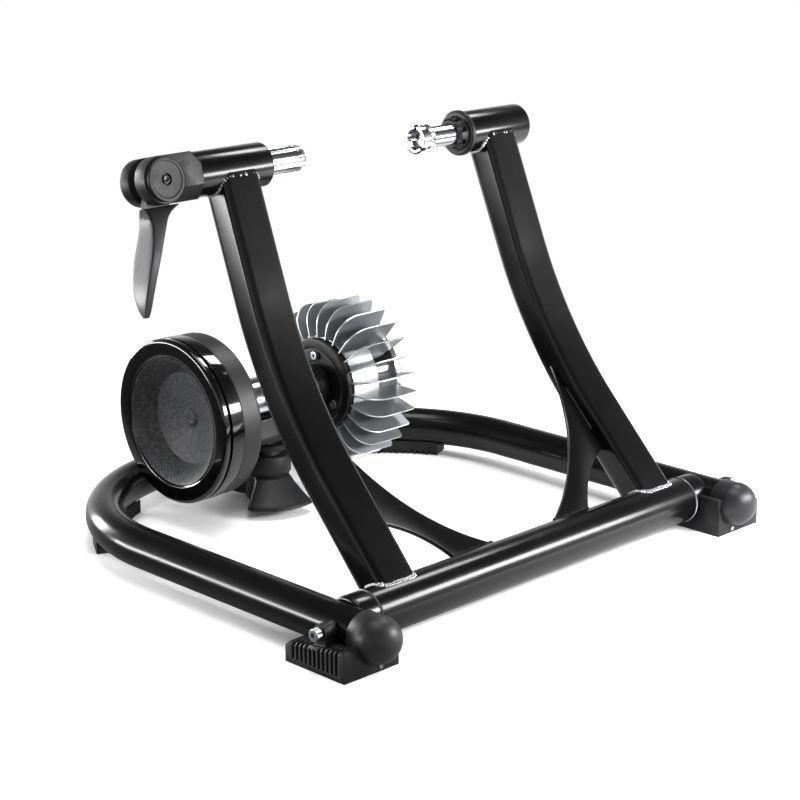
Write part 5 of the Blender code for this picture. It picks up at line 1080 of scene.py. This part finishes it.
def makeDrum():
    left, right, radius, bore = [drumSize[name] for name in ("left", "right", "radius", "bore")]
    mesh = turnedRing([(80, bore), (left, bore), (left, radius, 0.5), (right, radius, 0.5), (right, bore),
                       (80, bore)], roller, 0.2, steps=120)
    addPiece("drum_shell", mesh, polishedAluminium, "resistance_unit", "polished_aluminium", "finned_drum")
    bandLeft, inside, outside = drumSize["bandLeft"], radius + 0.05, radius + drumSize["bandHeight"]
    mesh = turnedRing([(110, inside), (bandLeft, inside), (bandLeft, outside, 0.3), (right - 0.2, outside, 0.3),
                       (right - 0.2, inside), (110, inside)], roller, 0.2, steps=120)
    addPiece("drum_band", mesh, enamel, "resistance_unit", "black_paint")
    root = radius - 1.5
    lead, trail = finSize["leadCorner"], finSize["trailCorner"]
    outline = [(left + 2, root), (left + 2, 49.0), (finSize["left"], 49.0)]
    outline += finCorner(finSize["left"] + lead, finSize["radius"] - lead, lead, pi, 12)
    outline += finCorner(finSize["right"] - trail, finSize["radius"] - trail, trail, pi / 2, 4)
    outline += [(finSize["right"], radius + 12), (finSize["right"] - 5, root)]
    fins = bmesh.new()
    half = finSize["thickness"] / 2
    for index in range(finSize["count"]):
        turn = Matrix.Rotation(2 * pi * (index + finSize["phase"]) / finSize["count"], 4, "X")
        face = fins.faces.new([fins.verts.new(turn @ Vector((x, -half, r))) for x, r in outline])
        extrudeFaces(fins, [face], turn @ Vector((0, 2 * half, 0)))
    bmesh.ops.recalc_face_normals(fins, faces=fins.faces)
    bevelRims(fins, 0.3, 1)
    bmesh.ops.translate(fins, vec=roller, verts=fins.verts)

    # Faces that are not the fins' flat sides get the painted edge highlight
    def rim(face):
        out = face.calc_center_median() / mm - Vector((0, crossbarY / mm, 0)) - roller
        radial = Vector((0, out.y, out.z)).normalized()
        flat = abs(face.normal.dot(Vector((1, 0, 0)).cross(radial)))
        return 1 if flat < 0.9 else 0
    addPiece("cooling_fins", fins, [finSheet, finEdgeHighlight], "resistance_unit", "polished_aluminium", pick=rim,
             sharp=30)


makeDrum()

backPlate = [(118.3, 0), (118.3, 46.2), (122.3, 46.2), (122.3, 50.5, 0.3), (129.3, 50.5, 1.5), (129.3, 36.5, 0.6),
             (127.3, 33.0, 0.6), (127.3, 0)]
addPiece("drum_back_plate", lathe(rounded(backPlate, 0.3), roller, steps=120), polishedAluminium,
         "resistance_unit", "polished_aluminium", "drum_rear_cover", sharp=30)
print("drum made")

# Bracket, pivot, knob and its screw

addPiece("welded_bracket", softened(nodeCopy("unit_bracket"), 0.7), satinPaint, "base", "black_paint",
         "unit_bracket")
for name in ("unit_pivot_bolt", "unit_pivot_nut"):
    addPiece(f"{name}_finished", softened(nodeCopy(name), 0.4, 2, 45), zincPlate, "base", "zinc_plate", name)

# angle is where one lobe points, in degrees; a lobe stays full for core degrees and ends at spread
knobSize = {"x": -24.0, "y": 337.0, "angle": 247.0, "core": 38.0, "spread": 58.0, "bore": 5.3}
# Height, radius between the lobes, and reach of the lobes
knobRings = [
    (9.0, 20.0, 49.5), (9.3, 21.4, 51.8), (10.5, 22.0, 53.0), (11.9, 22.0, 52.6), (14.0, 22.0, 50.0),
    (17.3, 22.0, 45.6), (21.2, 22.0, 41.0), (25.0, 22.0, 37.0), (29.7, 22.0, 31.5), (32.9, 22.0, 28.6),
    (33.9, 21.8, 27.6), (34.5, 21.0, 25.4), (34.8, 21.0, 22.6), (35.9, 21.0, 22.6), (36.5, 23.6, 23.6),
    (37.5, 24.0, 24.0), (52.8, 23.6, 23.6), (54.2, 23.0, 23.0), (54.9, 21.4, 21.4), (55.1, 14.0, 14.0),
    (60.7, 13.0, 13.0),
]


def makeKnob():
    mesh = bmesh.new()
    bmesh.ops.create_circle(mesh, segments=144, radius=1.0)
    edges, ring = mesh.edges[:], mesh.verts[:]
    for index, (height, radius, reach) in enumerate(knobRings):
        if index:
            grown = bmesh.ops.extrude_edge_only(mesh, edges=edges)["geom"]
            edges, ring = edgesIn(grown), vertsIn(grown)
        for vert in ring:
            turn = atan2(vert.co.y, vert.co.x)
            away = abs((turn - radians(knobSize["angle"]) + pi / 2) % pi - pi / 2)
            share = (radians(knobSize["spread"]) - away) / radians(knobSize["spread"] - knobSize["core"])
            share = min(1.0, max(0.0, share))
            size = radius + (reach - radius) * share * share * (3 - 2 * share)
            vert.co = Vector((cos(turn) * size, sin(turn) * size, height))
    closeEnds(mesh)
    x, y = knobSize["x"], knobSize["y"]
    bmesh.ops.translate(mesh, vec=(x, y, 0), verts=mesh.verts)
    bmesh.ops.recalc_face_normals(mesh, faces=mesh.faces)
    bore = rod((x, y, 16), (x, y, 65), knobSize["bore"])
    addPiece("two_lobe_knob", carved(mesh, bore), blackNylon, "knob", "black_plastic", "tension_knob", sharp=45)


makeKnob()
profile = rounded([(17, 0), (17, 5.0, 0.5), (68.5, 5.0, 0.5), (71.0, 2.2, 0.4), (71.0, 0)], 0.3)
addPiece("tension_screw_finished", lathe(profile, (knobSize["x"], knobSize["y"], 0), "Z", 48), zincPlate,
         "tension_screw_slide", "zinc_plate", "tension_screw")

# CAD nodes that stay as they are get their finishes here.
nodeFinishes = {"black_paint": satinPaint, "black_plastic": blackNylon, "black_rubber": blackRubber,
                "flywheel_enamel": enamel, "woven_mesh": wireCloth, "chrome": chrome,
                "polished_aluminium": polishedAluminium, "zinc_plate": zincPlate}
slotOf = {item["node"]: item["material_slot"] for item in frame["record"]["subparts"]}
for name, node in frame["nodes"].items():
    node.data.materials.clear()
    node.data.materials.append(nodeFinishes[slotOf[name]])
print("small pieces made")

# Floor, light and camera

studio = {
    "floorColour": "#e6e6e6",     # what the floor throws back on the object
    "floorToCamera": 1.3,         # lifts the floor's colour to white around its shadow
    "floorSize": 30,
    "floorMirror": (0.06, 0.85),  # how bright the floor is in reflections, left of the object and elsewhere
    "mirrorEdge": (-0.35, -0.05),  # metres from the middle between which that changes
    "fade": (0.55, 0.95),         # metres from the middle over which the floor turns plain white
    "worldLight": 0.55,
    "horizon": (0.10, 0.62),      # sines of elevation between which reflections of the room darken
    "roomMirror": 0.1,            # how bright the room is in reflections above that
    "softboxes": [
        # name, place, aim, width, height, power
        ("crossbarStrip", (0.58, -0.78, 0.40), (0.58, -0.19, 0.03), 0.85, 0.2, 19),
        ("leftBackStrip", (-1.7, 1.6, 0.16), (-0.1, 0.1, 0.1), 1.2, 0.3, 30),
        ("backStrip", (-0.45, 2.1, 0.4), (-0.1, 0.0, 0.2), 0.5, 0.7, 26),
        ("rightHighSoftbox", (1.3, 0.25, 1.97), (-0.1, 0.03, 0.3), 0.5, 0.5, 14),
        ("topSoftbox", (-0.2, -0.1, 2.4), (0.0, 0.0, 0.1), 1.4, 1.0, 26),
    ],
}
# Solved from the photograph's perspective
photoCamera = {"place": (-1.35682, -1.38150, 0.69158), "tilt": 73.93, "turn": -44.92, "lens": 94.98, "sensor": 36}

floor = bmesh.new()
bmesh.ops.create_grid(floor, x_segments=1, y_segments=1, size=studio["floorSize"])
floorPiece = linked("studio_floor", meshData(floor, "studio_floor"))

# As the camera sees it, the floor's colour is lifted so that only the shadow shows, and it ends in white.
floorPaint = bpy.data.materials.new("studioFloor")
floorPaint.use_nodes = True
tree = floorPaint.node_tree
tree.nodes.clear()
path = addNode(tree, "ShaderNodeLightPath")
tone = addNode(tree, "ShaderNodeMix", {0: (path, "Is Camera Ray"), 6: linear(studio["floorColour"]),
                                       7: (*[studio["floorToCamera"]] * 3, 1)}, data_type="RGBA")
place = addNode(tree, "ShaderNodeTexCoord")
sides = addNode(tree, "ShaderNodeSeparateXYZ", {0: (place, "Object")})
mirror = addNode(tree, "ShaderNodeMapRange", {"Value": (sides, 0), "From Min": studio["mirrorEdge"][0],
                                              "From Max": studio["mirrorEdge"][1],
                                              "To Min": studio["floorMirror"][0],
                                              "To Max": studio["floorMirror"][1]})
shade = addNode(tree, "ShaderNodeMix", {0: (path, "Is Glossy Ray"), 6: (tone, 2), 7: (mirror, 0)},
                data_type="RGBA")
reach = addNode(tree, "ShaderNodeVectorMath", {0: (place, "Object")}, operation="LENGTH")
away = addNode(tree, "ShaderNodeMapRange", {"Value": (reach, 1), "From Min": studio["fade"][0],
                                            "From Max": studio["fade"][1]}, interpolation_type="SMOOTHSTEP")
plain = addNode(tree, "ShaderNodeMath", {0: (path, "Is Camera Ray"), 1: (away, 0)}, operation="MULTIPLY")
cover = addNode(tree, "ShaderNodeBsdfDiffuse", {"Color": (shade, 2)})
white = addNode(tree, "ShaderNodeEmission", {"Color": (1, 1, 1, 1), "Strength": 1.0})
blend = addNode(tree, "ShaderNodeMixShader", {0: (plain, 0)})
tree.links.new(cover.outputs[0], blend.inputs[1])
tree.links.new(white.outputs[0], blend.inputs[2])
addNode(tree, "ShaderNodeOutputMaterial", {"Surface": (blend, 0)})
floorPiece.data.materials.append(floorPaint)

# The room is plain light on the object, white to the camera, and in reflections white only near the horizon.
world = bpy.data.worlds.new("studioWorld")
bpy.context.scene.world = world
world.use_nodes = True
tree = world.node_tree
tree.nodes.clear()
path = addNode(tree, "ShaderNodeLightPath")
way = addNode(tree, "ShaderNodeTexCoord")
heights = addNode(tree, "ShaderNodeSeparateXYZ", {0: (way, "Generated")})
mirror = addNode(tree, "ShaderNodeMapRange", {"Value": (heights, 2), "From Min": studio["horizon"][0],
                                              "From Max": studio["horizon"][1], "To Min": 1.0,
                                              "To Max": studio["roomMirror"]}, interpolation_type="SMOOTHSTEP")
base = addNode(tree, "ShaderNodeMix", {0: (path, "Is Glossy Ray"), 2: studio["worldLight"], 3: (mirror, 0)})
power = addNode(tree, "ShaderNodeMix", {0: (path, "Is Camera Ray"), 2: (base, 0), 3: 1.0})
glow = addNode(tree, "ShaderNodeBackground", {"Color": (1, 1, 1, 1), "Strength": (power, 0)})
addNode(tree, "ShaderNodeOutputWorld", {"Surface": (glow, 0)})

for name, place, aim, width, height, power in studio["softboxes"]:
    lamp = bpy.data.lights.new(name, "AREA")
    lamp.shape = "RECTANGLE"
    lamp.size = width
    lamp.size_y = height
    lamp.energy = power
    lampObject = linked(name, lamp)
    lampObject.location = place
    lampObject.rotation_euler = (Vector(aim) - Vector(place)).to_track_quat("-Z", "Y").to_euler()

cameraData = bpy.data.cameras.new("photoCamera")
cameraData.lens = photoCamera["lens"]
cameraData.sensor_width = photoCamera["sensor"]
cameraData.clip_end = 60
camera = linked("photoCamera", cameraData)
camera.location = photoCamera["place"]
camera.rotation_euler = (radians(photoCamera["tilt"]), 0, radians(photoCamera["turn"]))
bpy.context.scene.camera = camera
bpy.context.scene.view_settings.view_transform = "Standard"
print("studio made")
